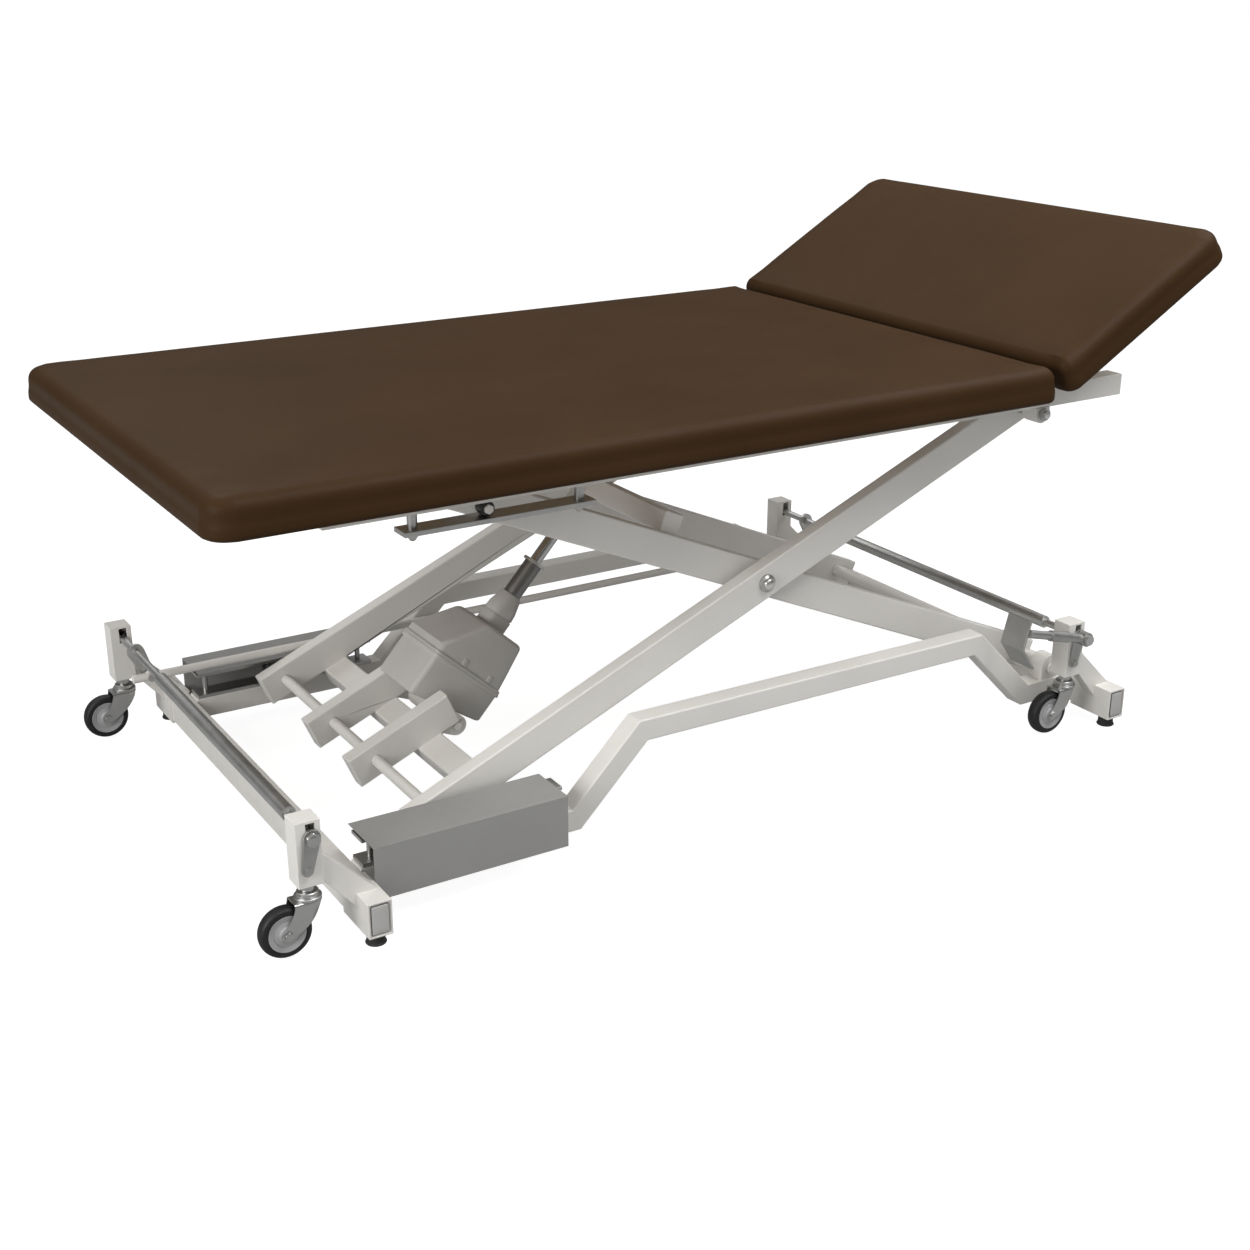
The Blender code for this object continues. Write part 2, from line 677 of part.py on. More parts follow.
def lever(name, shaft_x, side, axis):
    """Make the drop lever on a shaft's end, with the bolt that carries the caster slide."""
    low = min(side * LEVER_IN_Y, side * LEVER_OUT_Y)
    end = (shaft_x + LEVER_X, SHAFT_Z + LEVER_Z)
    plate = slab(strap((shaft_x, SHAFT_Z), LEVER_HUB_R, end, LEVER_END_R), low, low + LEVER_T)
    bolt_start = side * (LEVER_OUT_Y - SINK)
    bolt_end = side * (LEVER_OUT_Y + NUT_H)
    bolt = rod(LEVER_BOLT_R, (end[0], bolt_start, end[1]), (end[0], bolt_end, end[1]), 6)
    hole = rod(SHAFT_R + GAP, (shaft_x, low - SINK, SHAFT_Z), (shaft_x, low + LEVER_T + SINK, SHAFT_Z))
    part(name, cut(fused(plate, bolt), hole), axis, ZINC)


def pedal(axis):
    """Make the pedal arm and its folded tread on the near end of the head shaft."""
    rise = math.radians(PEDAL_RISE_ANGLE)
    along = Vector((-math.cos(rise), math.sin(rise)))
    up = Vector((along.y, -along.x))
    hub = Vector((HEAD_SHAFT_X, SHAFT_Z))

    def spot(reach, lift, y=-PEDAL_Y):
        point = hub + along * reach + up * lift
        return (point.x, y, point.y)

    hub_near = -PEDAL_Y - PEDAL_TUBE_R - SINK
    hub_far = -PEDAL_Y + PEDAL_TUBE_R + SINK
    boss = rod(LEVER_HUB_R, (hub.x, hub_near, hub.y), (hub.x, hub_far, hub.y))
    tube = rod(PEDAL_TUBE_R, spot(LEVER_HUB_R / 2, 0), spot(PEDAL_REACH - TREAD_T / 2 - GAP, 0))
    collar = rod(PEDAL_COLLAR_R, spot(PEDAL_COLLAR_FROM, 0), spot(PEDAL_COLLAR_TO, 0))
    hole_ends = ((hub.x, hub_near - SINK, hub.y), (hub.x, hub_far + SINK, hub.y))
    part("pedal_arm", cut(fused(boss, tube, collar), rod(SHAFT_R + GAP, *hole_ends)), axis, ZINC)

    path = [spot(PEDAL_REACH, TREAD_UP), spot(PEDAL_REACH, -TREAD_DOWN)]
    slant = math.radians(TREAD_SLANT)
    return_reach = PEDAL_REACH - TREAD_RETURN * math.sin(slant)
    path.append(spot(return_reach, -TREAD_DOWN - TREAD_RETURN * math.cos(slant)))
    outline = band([(point[0], point[2]) for point in path], TREAD_T / 2)
    tread = slab(outline, -PEDAL_Y, -PEDAL_Y + TREAD_W)
    part("pedal_tread", tread, axis, ZINC)


def caster(corner, post_x, side):
    """Make a caster: the slide in its post, the swivel fork and the wheel."""
    y = side * POST_Y
    stem_axis = axis_empty("stem_axis_" + corner, (post_x, y, FORK_HEAD_TOP))
    width = POST - 2 * POST_WALL - 2 * GAP
    slide_low = POST_BOTTOM + SLIDE_IN
    body = block((width, width, SLIDE_LENGTH), (post_x, y, slide_low + SLIDE_LENGTH / 2))
    plate_top = FORK_HEAD_TOP - FORK_HEAD_H
    plate_low = plate_top - FORK_ROOF
    stem_low = plate_low - HINGE_PLAY
    profile = [
        (0, slide_low + SINK), (STEM_COLLAR_R, slide_low + SINK),
        (STEM_COLLAR_R, FORK_HEAD_TOP + HINGE_PLAY), (STEM_R, FORK_HEAD_TOP + HINGE_PLAY),
        (STEM_R, stem_low), (STEM_HEAD_R, stem_low),
        (STEM_HEAD_R, stem_low - STEM_HEAD_T), (0, stem_low - STEM_HEAD_T),
    ]
    stem = turned(profile, (post_x, y, 0), (0, 0, 1), steps=16)
    part("caster_slide_" + corner, fused(body, stem), stem_axis, ZINC)

    axle = (post_x - WHEEL_TRAIL, AXLE_Z)
    front = FORK_HEAD_R - FORK_LIP
    cheek = [
        (post_x + front, plate_top), (post_x - front - FORK_BACK, plate_top),
        (post_x - front - 2 * FORK_BACK, plate_top - FORK_SHOULDER),
    ]
    cheek += arc(axle, FORK_EYE_R, 165, 325, 6)
    cheek += [(post_x + FORK_LIP, AXLE_Z + FORK_WAIST), (post_x + front - FORK_LIP, plate_top - FORK_SHOULDER)]
    inner = WHEEL_W / 2 + FORK_SIDE_PLAY
    outer = inner + FORK_PLATE
    roof_top = plate_top - SINK / 2
    roof = block((2 * front + FORK_BACK - SINK, 2 * inner + FORK_PLATE, roof_top - plate_low),
                 (post_x - FORK_BACK / 2, y, (roof_top + plate_low) / 2))
    dome = [
        (0, FORK_HEAD_TOP), (FORK_HEAD_R - FORK_HEAD_ROUND, FORK_HEAD_TOP),
        (FORK_HEAD_R, FORK_HEAD_TOP - FORK_HEAD_ROUND), (FORK_HEAD_R, plate_top - SINK), (0, plate_top - SINK),
    ]
    head = turned(dome, (post_x, y, 0), (0, 0, 1), steps=20)
    cheeks = [slab(cheek, y - outer, y - inner), slab(cheek, y + inner, y + outer)]
    pin = rod(WHEEL_PIN_R, (axle[0], y - outer - SINK, axle[1]), (axle[0], y + outer + SINK, axle[1]), 16)
    nuts = []
    for face in (-1, 1):
        start = y + face * (outer - SINK)
        end = y + face * (outer + FORK_NUT_T)
        nuts.append(rod(NUT_R, (axle[0], start, axle[1]), (axle[0], end, axle[1]), 6))
    bore = rod(STEM_R + HINGE_PLAY, (post_x, y, plate_low - SINK), (post_x, y, FORK_HEAD_TOP + SINK), 16)
    fork = cut(fused(roof, head, *cheeks, pin, *nuts), bore)
    part("caster_fork_" + corner, fork, stem_axis, ZINC)

    wheel_axis = axis_empty("wheel_axis_" + corner, (axle[0], y, axle[1]))
    half = WHEEL_W / 2
    boss = half + WHEEL_BOSS
    dish = half - WHEEL_DISH
    upper = [
        (WHEEL_PIN_R + HINGE_PLAY, boss), (WHEEL_HUB_R, boss), (WHEEL_HUB_R + WHEEL_BOSS, dish),
        (WHEEL_DISH_R, dish), (WHEEL_RIM_R, half), (WHEEL_R - WHEEL_SHOULDER, half),
        (WHEEL_R, half - WHEEL_FLANK),
    ]
    profile = upper + [(radius, -height) for radius, height in reversed(upper)]
    wheel = turned(profile, (axle[0], y, axle[1]), (0, 1, 0), closed=True, steps=20)
    part("caster_wheel_" + corner, wheel, wheel_axis, TYRE, True)


def scissor_point(k, h, rising):
    """Return X, Z of a point k along and h above a scissor arm's axis, from the centre pivot."""
    lean = ANGLE if rising else -ANGLE
    x = CENTRE_X + k * math.cos(lean) - h * math.sin(lean)
    z = CENTRE_Z + k * math.sin(lean) + h * math.cos(lean)
    return (x, z)


def scissor_box(k_low, k_high, h_low, h_high, y_low, y_high, rising):
    """Return a box laid along a scissor arm."""
    x, z = scissor_point((k_low + k_high) / 2, (h_low + h_high) / 2, rising)
    size = (k_high - k_low, y_high - y_low, h_high - h_low)
    return block(size, (x, (y_low + y_high) / 2, z), -ANGLE if rising else ANGLE)


def cross_rod(radius, point, half, steps=ROUND_STEPS):
    """Return a round bar across the whole table through an X, Z point."""
    return rod(radius, (point[0], -half, point[1]), (point[0], half, point[1]), steps)


def actuator_frame():
    """Return the actuator's low pin, its lean in radians and its length at rest."""
    foot = scissor_point(ACTUATOR_K, ACTUATOR_H, True)
    eye = scissor_point(LIFT_EYE_K, LIFT_EYE_H, False)
    return foot, math.atan2(eye[1] - foot[1], eye[0] - foot[0]), math.dist(foot, eye)


def actuator_point(u, w):
    """Return X, Z of a point u along and w above the actuator's axis, from its low pin."""
    foot, lean = actuator_frame()[:2]
    x = foot[0] + u * math.cos(lean) - w * math.sin(lean)
    z = foot[1] + u * math.sin(lean) + w * math.cos(lean)
    return (x, z)


def pivot_tube(name, point, tube_r, journal_r, head_r, axis):
    """Make a tube across the table with journals through the lugs and a head on each end."""
    inner = RAIL_Y - LUG_T / 2 - SINK / 2
    outer = RAIL_Y + RAIL / 2 + SINK / 2
    end = outer + PIVOT_HEAD_T
    upper = [(0, end), (head_r, end), (head_r, outer), (journal_r, outer)]
    upper += [(journal_r, inner), (tube_r, inner)]
    profile = upper + [(radius, -height) for radius, height in reversed(upper)]
    part(name, turned(profile, (point[0], 0, point[1]), (0, 1, 0), steps=16), axis, ZINC)


def roller(name, point, radius, side):
    """Make a guide roller on its pin."""
    x, z = point
    axis = axis_empty(name + "_axis", (x, side * RAIL_Y, z))
    half = ROLLER_W / 2
    bore_r = ROLLER_PIN_R + HINGE_PLAY
    face_r = radius - ROLLER_EDGE
    profile = [(bore_r, half), (face_r, half), (radius, half - ROLLER_EDGE)]
    profile += [(radius, ROLLER_EDGE - half), (face_r, -half), (bore_r, -half)]
    part(name, turned(profile, (x, side * RAIL_Y, z), (0, 1, 0), closed=True, steps=16), axis, NYLON, True)


def inner_frame():
    """Make the inner scissor frame with its pivot tube and the ears for the lift rod."""
    low_end = ARM_LOW + ARM_TAIL_INNER
    high_end = -ARM_UP - ARM_TAIL_TOP
    half = ARM_H / 2
    arms = []
    for side in (-1, 1):
        y = side * INNER_Y
        arms.append(scissor_box(high_end, low_end, -half, half, y - ARM_W / 2, y + ARM_W / 2, False))
    eye = scissor_point(LIFT_EYE_K, LIFT_EYE_H, False)
    cross = scissor_point(LIFT_CROSS_K, LIFT_CROSS_H, False)
    reach = INNER_Y - ARM_W / 4
    welded = [block((LIFT_CROSS, 2 * reach, LIFT_CROSS), (cross[0], 0, cross[1]), ANGLE)]
    for side in (-1, 1):
        low = min(side * EAR_SPACE, side * (EAR_SPACE + EAR_T))
        welded.append(slab(strap(cross, EAR_ROOT_R, eye, EAR_EYE_R), low, low + EAR_T))
    pin = scissor_point(-ARM_UP, 0, False)
    for side in (-1, 1):
        start = side * INNER_Y
        pin_end = side * (RAIL_Y + ROLLER_W / 2 + SINK / 2)
        head_end = pin_end + side * NUT_H
        welded.append(rod(ROLLER_PIN_R, (pin[0], start, pin[1]), (pin[0], head_end, pin[1]), 16))
        welded.append(rod(NUT_R, (pin[0], pin_end, pin[1]), (pin[0], head_end + side * SINK, pin[1]), 6))
    holes = [
        cross_rod(CENTRE_BOLT_R + HINGE_PLAY, (CENTRE_X, CENTRE_Z), PAD_WIDTH / 2),
        cross_rod(PIVOT_TUBE_R + GAP, (LOW_PIVOT_X, LOW_PIVOT_Z), PAD_WIDTH / 2),
    ]
    holes.append(cross_rod(ACTUATOR_PIN_R + GAP, eye, EAR_SPACE + EAR_T + SINK))
    frame = cut(fused(arms[0], arms[1], *welded), *holes)
    part("inner_frame", frame, LIFT_AXIS, PAINT)
    low_pivot = (LOW_PIVOT_X, LOW_PIVOT_Z)
    pivot_tube("low_pivot_tube", low_pivot, PIVOT_TUBE_R, PIVOT_JOURNAL_R, PIVOT_HEAD_R, LIFT_AXIS)
    roller("top_roller_near", pin, TOP_ROLLER_R, -1)
    roller("top_roller_far", pin, TOP_ROLLER_R, 1)


def outer_frame():
    """Make the outer scissor frame with the cross tube and stub arms that carry the actuator."""
    low_end = -ARM_LOW - ARM_TAIL_OUTER
    high_end = ARM_UP + ARM_TAIL_TOP
    half = ARM_H / 2
    arms = []
    for side in (-1, 1):
        y = side * OUTER_Y
        arms.append(scissor_box(low_end, high_end, -half, half, y - ARM_W / 2, y + ARM_W / 2, True))
    cross_half = OUTER_Y + ARM_W / 4
    cross_low = CROSS_K - CROSS_BOX / 2
    cross_high = CROSS_K + CROSS_BOX / 2
    top = -half + SINK
    welded = [scissor_box(cross_low, cross_high, top - CROSS_DEPTH, top, -cross_half, cross_half, True)]
    pin = scissor_point(ACTUATOR_K, ACTUATOR_H, True)
    ear_root = scissor_point(ACTUATOR_K - STUB_EAR_BACK, -half / 2, True)
    for side in (-1, 1):
        y = side * STUB_Y
        stub_low = y - ARM_W / 2
        stub_high = y + ARM_W / 2
        welded.append(scissor_box(low_end, STUB_END_K, -half, half, stub_low, stub_high, True))
        ear_low = y - EAR_T
        welded.append(slab(strap(ear_root, STUB_EAR_ROOT_R, pin, STUB_EAR_EYE_R), ear_low, y + EAR_T))
    welded.append(cross_rod(ACTUATOR_PIN_R, pin, STUB_Y + EAR_T + STUB_PIN_PAST, 20))
    axle_point = (LOW_ROLLER_X, LOW_PIVOT_Z)
    holes = [
        cross_rod(AXLE_R + GAP, axle_point, PAD_WIDTH / 2),
        cross_rod(CENTRE_BOLT_R + GAP, (CENTRE_X, CENTRE_Z), PAD_WIDTH / 2),
        cross_rod(TOP_TUBE_R + GAP, (TOP_PIVOT_X, TOP_PIVOT_Z), PAD_WIDTH / 2),
    ]
    part("outer_frame", cut(fused(arms[0], arms[1], *welded), *holes), CROSS_AXIS, PAINT)

    bar_end = OUTER_Y + ARM_W / 2 + AXLE_SHOULDER
    pin_end = RAIL_Y + ROLLER_W / 2 + SINK / 2
    upper = [(0, pin_end + NUT_H), (AXLE_R, pin_end + NUT_H), (AXLE_R, pin_end), (ROLLER_PIN_R, pin_end)]
    upper += [(ROLLER_PIN_R, bar_end), (AXLE_R, bar_end)]
    profile = upper + [(radius, -height) for radius, height in reversed(upper)]
    axle = turned(profile, (axle_point[0], 0, axle_point[1]), (0, 1, 0), steps=20)
    part("roller_axle", axle, CROSS_AXIS, ZINC)
    top_pivot = (TOP_PIVOT_X, TOP_PIVOT_Z)
    pivot_tube("top_pivot_tube", top_pivot, TOP_TUBE_R, TOP_JOURNAL_R, TOP_HEAD_R, CROSS_AXIS)
    roller("low_roller_near", axle_point, LOW_ROLLER_R, -1)
    roller("low_roller_far", axle_point, LOW_ROLLER_R, 1)
    for side, label in ((-1, "near"), (1, "far")):
        out = OUTER_Y + ARM_W / 2 + GAP
        inside = INNER_Y - ARM_W / 2 - SINK
        crown = out + CENTRE_HEAD_T
        edge = out + CENTRE_HEAD_T / 2
        last = inside - CENTRE_NUT_T
        profile = [
            (0, crown), (CENTRE_HEAD_R - CENTRE_HEAD_T / 2, crown), (CENTRE_HEAD_R, edge), (CENTRE_HEAD_R, out),
            (CENTRE_BOLT_R, out), (CENTRE_BOLT_R, inside), (CENTRE_HEAD_R, inside), (CENTRE_HEAD_R, last),
            (0, last),
        ]
        bolt = turned(profile, (CENTRE_X, 0, CENTRE_Z), (0, side, 0))
        part("centre_bolt_" + label, bolt, CROSS_AXIS, ZINC)


def actuator():
    """Make the linear actuator: housing, upper cover with neck, guide tube and lift rod."""
    foot, lean, length = actuator_frame()
    axis = axis_empty("actuator_axis", (foot[0], 0, foot[1]))
    half = ACTUATOR_HALF
    under = -CASE_DOWN - CASE_RIM
    over = CASE_UP + CASE_RIM
    side = half + CASE_RIM

    def extruded(outline, reach):
        return slab([actuator_point(*point) for point in outline], -reach, reach)

    low = [(0.0, CASE_UP - CASE_TAPER), (CASE_FOOT, -CASE_DOWN - CASE_TAPER)]
    low += [(ACTUATOR_SPLIT - SINK, -CASE_DOWN), (ACTUATOR_SPLIT - SINK, CASE_UP)]
    boss = cross_rod(ACTUATOR_BOSS_R, foot, half - SINK)
    lip = ACTUATOR_SPLIT - CASE_RIM_W
    rim = extruded([(lip, under), (ACTUATOR_SPLIT, under), (ACTUATOR_SPLIT, over), (lip, over)], side)
    hole = cross_rod(ACTUATOR_PIN_R + RUN, foot, half + SINK)
    part("actuator_housing", cut(fused(extruded(low, half), rim, boss), hole), axis, CASE)

    base = ACTUATOR_SPLIT + GAP
    edge = base + LID_RIM_W
    high = [(base + SINK, CASE_UP), (base + SINK, -CASE_DOWN), (LID_UNDER, -LID_HALF)]
    high += [(LID_OVER, LID_HALF), (base + LID_STEP, CASE_UP)]
    neck_outline = [(NECK_FOOT, -NECK_HALF), (NECK_TAPER, -NECK_HALF), (NECK_TOP, -NECK_TIP_HALF)]
    neck_outline += [(NECK_TOP, NECK_TIP_HALF), (NECK_TAPER, NECK_HALF), (NECK_FOOT, NECK_HALF)]
    neck = extruded(neck_outline, NECK_SIDE)
    collar = extruded([(base, under), (edge, under), (edge, over), (base, over)], side)

    def on_axis(u):
        x, z = actuator_point(u, 0)
        return (x, 0, z)

    bore = rod(ROD_R + HINGE_PLAY, on_axis(ROD_BORE_FOOT), on_axis(NECK_TOP + SINK))
    part("actuator_cover", cut(fused(extruded(high, half), neck, collar), bore), axis, CASE)

    along = (math.cos(lean), 0, math.sin(lean))
    bore_r = ROD_R + HINGE_PLAY
    flange = GUIDE_TUBE_TOP - GUIDE_FLANGE_T
    profile = [
        (bore_r, GUIDE_TUBE_TOP), (GUIDE_FLANGE_R, GUIDE_TUBE_TOP), (GUIDE_FLANGE_R, flange),
        (GUIDE_TUBE_R, flange), (GUIDE_TUBE_R, NECK_TOP + GAP), (bore_r, NECK_TOP + GAP),
    ]
    part("actuator_tube", turned(profile, on_axis(0), along, closed=True), axis, DARK_TUBE, True)

    bar = rod(ROD_R, on_axis(ROD_TAIL), on_axis(length - ROD_EYE_R / 2))
    eye = actuator_point(length, 0)
    end = cross_rod(ROD_EYE_R, eye, ROD_EYE_HALF)
    hole = cross_rod(ACTUATOR_PIN_R - SINK, eye, ROD_EYE_HALF + SINK)
    part("actuator_rod", cut(fused(bar, end), hole), axis, STEEL)


def stay_frame():
    """Return the stay's foot point, its direction in radians and its length at rest."""
    foot = Vector((STAY_X, TOP_RAIL_HIGH - STAY_DROP))
    hinge = Vector((HINGE_X, HINGE_Z))
    flat = Vector((STAY_HEAD_X, DECK_Z - STAY_HEAD_DROP)) - hinge
    tilt = math.radians(HEAD_TILT)
    lean_x = flat.x * math.cos(tilt) - flat.y * math.sin(tilt)
    lean_z = flat.x * math.sin(tilt) + flat.y * math.cos(tilt)
    reach = hinge + Vector((lean_x, lean_z)) - foot
    return foot, math.atan2(reach.y, reach.x), reach.length


def top_frame():
    """Make the top frame: two rails with lugs, cross tubes and the foot bracket of the stay."""
    middle_x = TOP_FOOT_X + TOP_LENGTH / 2
    middle_z = (TOP_RAIL_LOW + TOP_RAIL_HIGH) / 2
    rails = []
    for side in (-1, 1):
        y = side * RAIL_Y
        rails.append(block((TOP_LENGTH, RAIL, RAIL), (middle_x, y, middle_z)))
        root = TOP_RAIL_LOW + SINK
        outline = [(TOP_PIVOT_X + TOP_LUG_R, root), (TOP_PIVOT_X - TOP_LUG_R, root)]
        outline += arc((TOP_PIVOT_X, TOP_PIVOT_Z), TOP_LUG_R, 180, 360, 10)
        rails.append(slab(outline, y - LUG_T / 2, y + LUG_T / 2))
    reach = RAIL_Y - RAIL / 2 + SINK
    cross_z = middle_z - SINK
    for x in (TOP_FOOT_X + RAIL, TOP_PIVOT_X - MID_CROSS_BACK, STAY_CROSS_X):
        rails.append(block((RAIL, 2 * reach, RAIL - 4 * SINK), (x, 0, cross_z)))
    foot = stay_frame()[0]
    for side in (-1, 1):
        inner = side * (STAY_TUBE_W / 2 + STAY_SIDE_PLAY)
        low = min(inner, inner + side * EAR_T)
        ear = strap((STAY_CROSS_X, cross_z), STAY_ROOT_R, tuple(foot), STAY_FOOT_R)
        rails.append(slab(ear, low, low + EAR_T))
    rails.append(cross_rod(STAY_PIN_R, tuple(foot), STAY_TUBE_W / 2 + EAR_T, 16))
    bore = cross_rod(TOP_JOURNAL_R + RUN, (TOP_PIVOT_X, TOP_PIVOT_Z), PAD_WIDTH / 2)
    part("top_frame", cut(fused(rails[0], *rails[1:]), bore), TOP_AXIS, PAINT)


def top_guide(name, side):
    """Make the flat bar hung under a top rail that holds the top roller up."""
    high = TOP_PIVOT_Z - TOP_ROLLER_R - ROLLER_PLAY
    low = high - TOP_GUIDE_T
    middle_x = TOP_GUIDE_FOOT_X + TOP_GUIDE_LENGTH / 2
    y = side * RAIL_Y
    bar = block((TOP_GUIDE_LENGTH, RAIL, TOP_GUIDE_T), (middle_x, y, (low + high) / 2))
    welded = []
    for end in (-1, 1):
        x = middle_x + end * (TOP_GUIDE_LENGTH / 2 - GUIDE_BOLT_SET_IN)
        welded.append(rod(NUT_R, (x, y, high - SINK), (x, y, TOP_RAIL_LOW - GAP), 16))
        welded.append(rod(NUT_R, (x, y, low - NUT_H), (x, y, low + SINK), 6))
    part(name, fused(bar, *welded), TOP_AXIS, ZINC)


def cushion(name, start, end, deck_start, deck_end, axis):
    """Make a padded section: a soft form with a crowned top, hollowed below for its deck."""
    cage = bmesh.new()
    bmesh.ops.create_cube(cage, size=2.0)
    bmesh.ops.subdivide_edges(cage, edges=cage.edges, cuts=2, use_grid_fill=True)
    half = Vector(((end - start) / 2, PAD_WIDTH / 2, PAD_THICK / 2))
    inner_x = half.x - PAD_ROUND
    inner_y = half.y - PAD_ROUND
    for vertex in cage.verts:
        place = vertex.co.copy()
        inside = abs(place.x) < 0.5 and abs(place.y) < 0.5
        vertex.co.x = math.copysign(half.x if abs(place.x) > 0.5 else inner_x, place.x)
        vertex.co.y = math.copysign(half.y if abs(place.y) > 0.5 else inner_y, place.y)
        vertex.co.z = math.copysign(half.z if abs(place.z) > 0.5 else half.z * 0.45, place.z)
        if place.z < -0.5 and not inside:
            vertex.co.x -= math.copysign(PAD_TUCK if abs(place.x) > 0.5 else 0.0, place.x)
            vertex.co.y -= math.copysign(PAD_TUCK if abs(place.y) > 0.5 else 0.0, place.y)
        if place.z > 0.5 and inside:
            vertex.co.z += PAD_CROWN
    mesh = bpy.data.meshes.new("cushion")
    cage.to_mesh(mesh)
    cage.free()
    form = solid(mesh)
    form.location = ((start + end) / 2, 0, DECK_Z + half.z)
    smooth = form.modifiers.new("soften", "SUBSURF")
    smooth.levels = 2
    smooth.render_levels = 2
    size = (deck_end - deck_start + 2 * GAP, PAD_WIDTH - 2 * DECK_MARGIN + 2 * GAP, 2 * (DECK_THICK + GAP))
    recess = block(size, ((deck_start + deck_end) / 2, 0, DECK_Z))
    part(name, cut(settled(form), recess), axis, VINYL, True)


def lying_surface():
    """Make both decks, both pads and the hinge between them."""
    main_deck = (FOOT_END_X + DECK_MARGIN, MAIN_END_X - DECK_MARGIN / 2)
    head_end = HEAD_START_X + HEAD_LENGTH
    head_deck = (HEAD_START_X + DECK_MARGIN / 2, head_end - DECK_MARGIN)
    width = PAD_WIDTH - 2 * DECK_MARGIN
    sections = (
        ("main", FOOT_END_X, MAIN_END_X, main_deck, TOP_AXIS),
        ("head", HEAD_START_X, head_end, head_deck, HEAD_AXIS),
    )
    for label, start, end, deck, axis in sections:
        middle = ((deck[0] + deck[1]) / 2, 0, DECK_Z + DECK_THICK / 2)
        part(label + "_deck", block((deck[1] - deck[0], width, DECK_THICK), middle), axis, PLYWOOD)
        cushion(label + "_pad", start, end, deck[0], deck[1], axis)

    segments = 5
    step = 2 * LEAF_HALF / segments
    flange_low = DECK_Z - GAP - LEAF
    for label, side, axis in (("main", -1, TOP_AXIS), ("head", 1, HEAD_AXIS)):
        face = HINGE_X + side * JOINT_GAP / 4
        upright = block((LEAF, 2 * LEAF_HALF, HINGE_Z - flange_low), (face, 0, (HINGE_Z + flange_low) / 2))
        flange_x = face + side * LEAF_REACH / 2
        flange = block((LEAF_REACH, 2 * LEAF_HALF, LEAF), (flange_x, 0, flange_low + LEAF / 2))
        welded = [flange]
        cutters = []
        for index in range(segments):
            low = -LEAF_HALF + index * step + GAP
            high = low + step - 2 * GAP
            mine = (index % 2 == 0) == (side < 0)
            ends = ((HINGE_X, low, HINGE_Z), (HINGE_X, high, HINGE_Z))
            if mine:
                welded.append(rod(KNUCKLE_R, *ends, 12))
            else:
                room = KNUCKLE_R + HINGE_PLAY
                space = (4 * room, step + GAP, 2 * room)
                cutters.append(block(space, (HINGE_X, (low + high) / 2, HINGE_Z)))
        if side > 0:
            arm_end = STAY_HEAD_X + STAY_STRAP_END
            arm_start = face + LEAF_REACH / 2
            centre = ((arm_start + arm_end) / 2, 0, flange_low + LEAF / 2)
            welded.append(block((arm_end - arm_start, STAY_STRAP_W, LEAF - GAP), centre))
            eye = (STAY_HEAD_X, DECK_Z - STAY_HEAD_DROP)
            for ear_side in (-1, 1):
                inner = ear_side * (STAY_BAR_W / 2 + STAY_SIDE_PLAY)
                low = min(inner, inner + ear_side * EAR_T)
                top = flange_low + LEAF / 2
                ear = [(STAY_HEAD_X + STAY_EAR_R, top), (STAY_HEAD_X - STAY_EAR_R, top)]
                ear += arc(eye, STAY_EAR_R, 180, 360, 8)
                welded.append(slab(ear, low, low + EAR_T))
            cutters.append(cross_rod(STAY_PIN_R + GAP, eye, STAY_STRAP_W / 2, 16))
        leaf = cut(fused(upright, *welded), *cutters)
        part("hinge_leaf_" + label, leaf, axis, ZINC)


def head_stay():
    """Make the telescopic stay that holds the head section up."""
    foot, lean, length = stay_frame()
    axis = axis_empty("stay_axis", (foot.x, 0, foot.y))
    along = Vector((math.cos(lean), 0, math.sin(lean)))
    base = Vector((foot.x, 0, foot.y))

    def bar(size, start, end):
        return block((end - start, size[0], size[1]), base + along * (start + end) / 2, -lean)

    tube = bar((STAY_TUBE_W, STAY_TUBE_H), 0.0, STAY_TUBE_LENGTH)
    eye = cross_rod(STAY_TUBE_EYE_R, tuple(foot), STAY_TUBE_W / 2 + GAP)
    hollow = bar((STAY_BAR_W + 2 * GAP, STAY_BAR_H + 2 * GAP), STAY_HOLLOW, STAY_TUBE_LENGTH + SINK)
    hole = cross_rod(STAY_PIN_R + HINGE_PLAY, tuple(foot), STAY_TUBE_W, 16)
    part("stay_tube", cut(fused(tube, eye), hollow, hole), axis, ZINC)

    inner = bar((STAY_BAR_W, STAY_BAR_H), STAY_BAR_TAIL, length)
    tip = base + along * length
    end = cross_rod(STAY_EYE_R, (tip.x, tip.z), STAY_BAR_W / 2 + GAP)
    hole = cross_rod(STAY_PIN_R, (tip.x, tip.z), STAY_BAR_W, 16)
    part("stay_bar", cut(fused(inner, end), hole), axis, STEEL)


def wheel_lift():
    """Make the shafts, levers, link rod and pedal that lower the casters."""
    near_foot = LEVER_OUT_Y + GAP
    near_head = PEDAL_Y + PEDAL_TUBE_R + SINK + GAP
    foot_axis = axis_empty("foot_shaft_axis", (FOOT_SHAFT_X, 0, SHAFT_Z))
    head_axis = axis_empty("head_shaft_axis", (HEAD_SHAFT_X, 0, SHAFT_Z))
    link_axis = axis_empty("link_axis", (FOOT_SHAFT_X + CRANK_X, 0, SHAFT_Z + CRANK_Z))
    shaft("shaft_foot", FOOT_SHAFT_X, foot_axis, near_foot)
    shaft("shaft_head", HEAD_SHAFT_X, head_axis, near_head)
    link_rod("link_rod", link_axis)
    for label, x, axis in (("foot", FOOT_SHAFT_X, foot_axis), ("head", HEAD_SHAFT_X, head_axis)):
        lever("lever_" + label + "_near", x, -1, axis)
        lever("lever_" + label + "_far", x, 1, axis)
    pedal(head_axis)


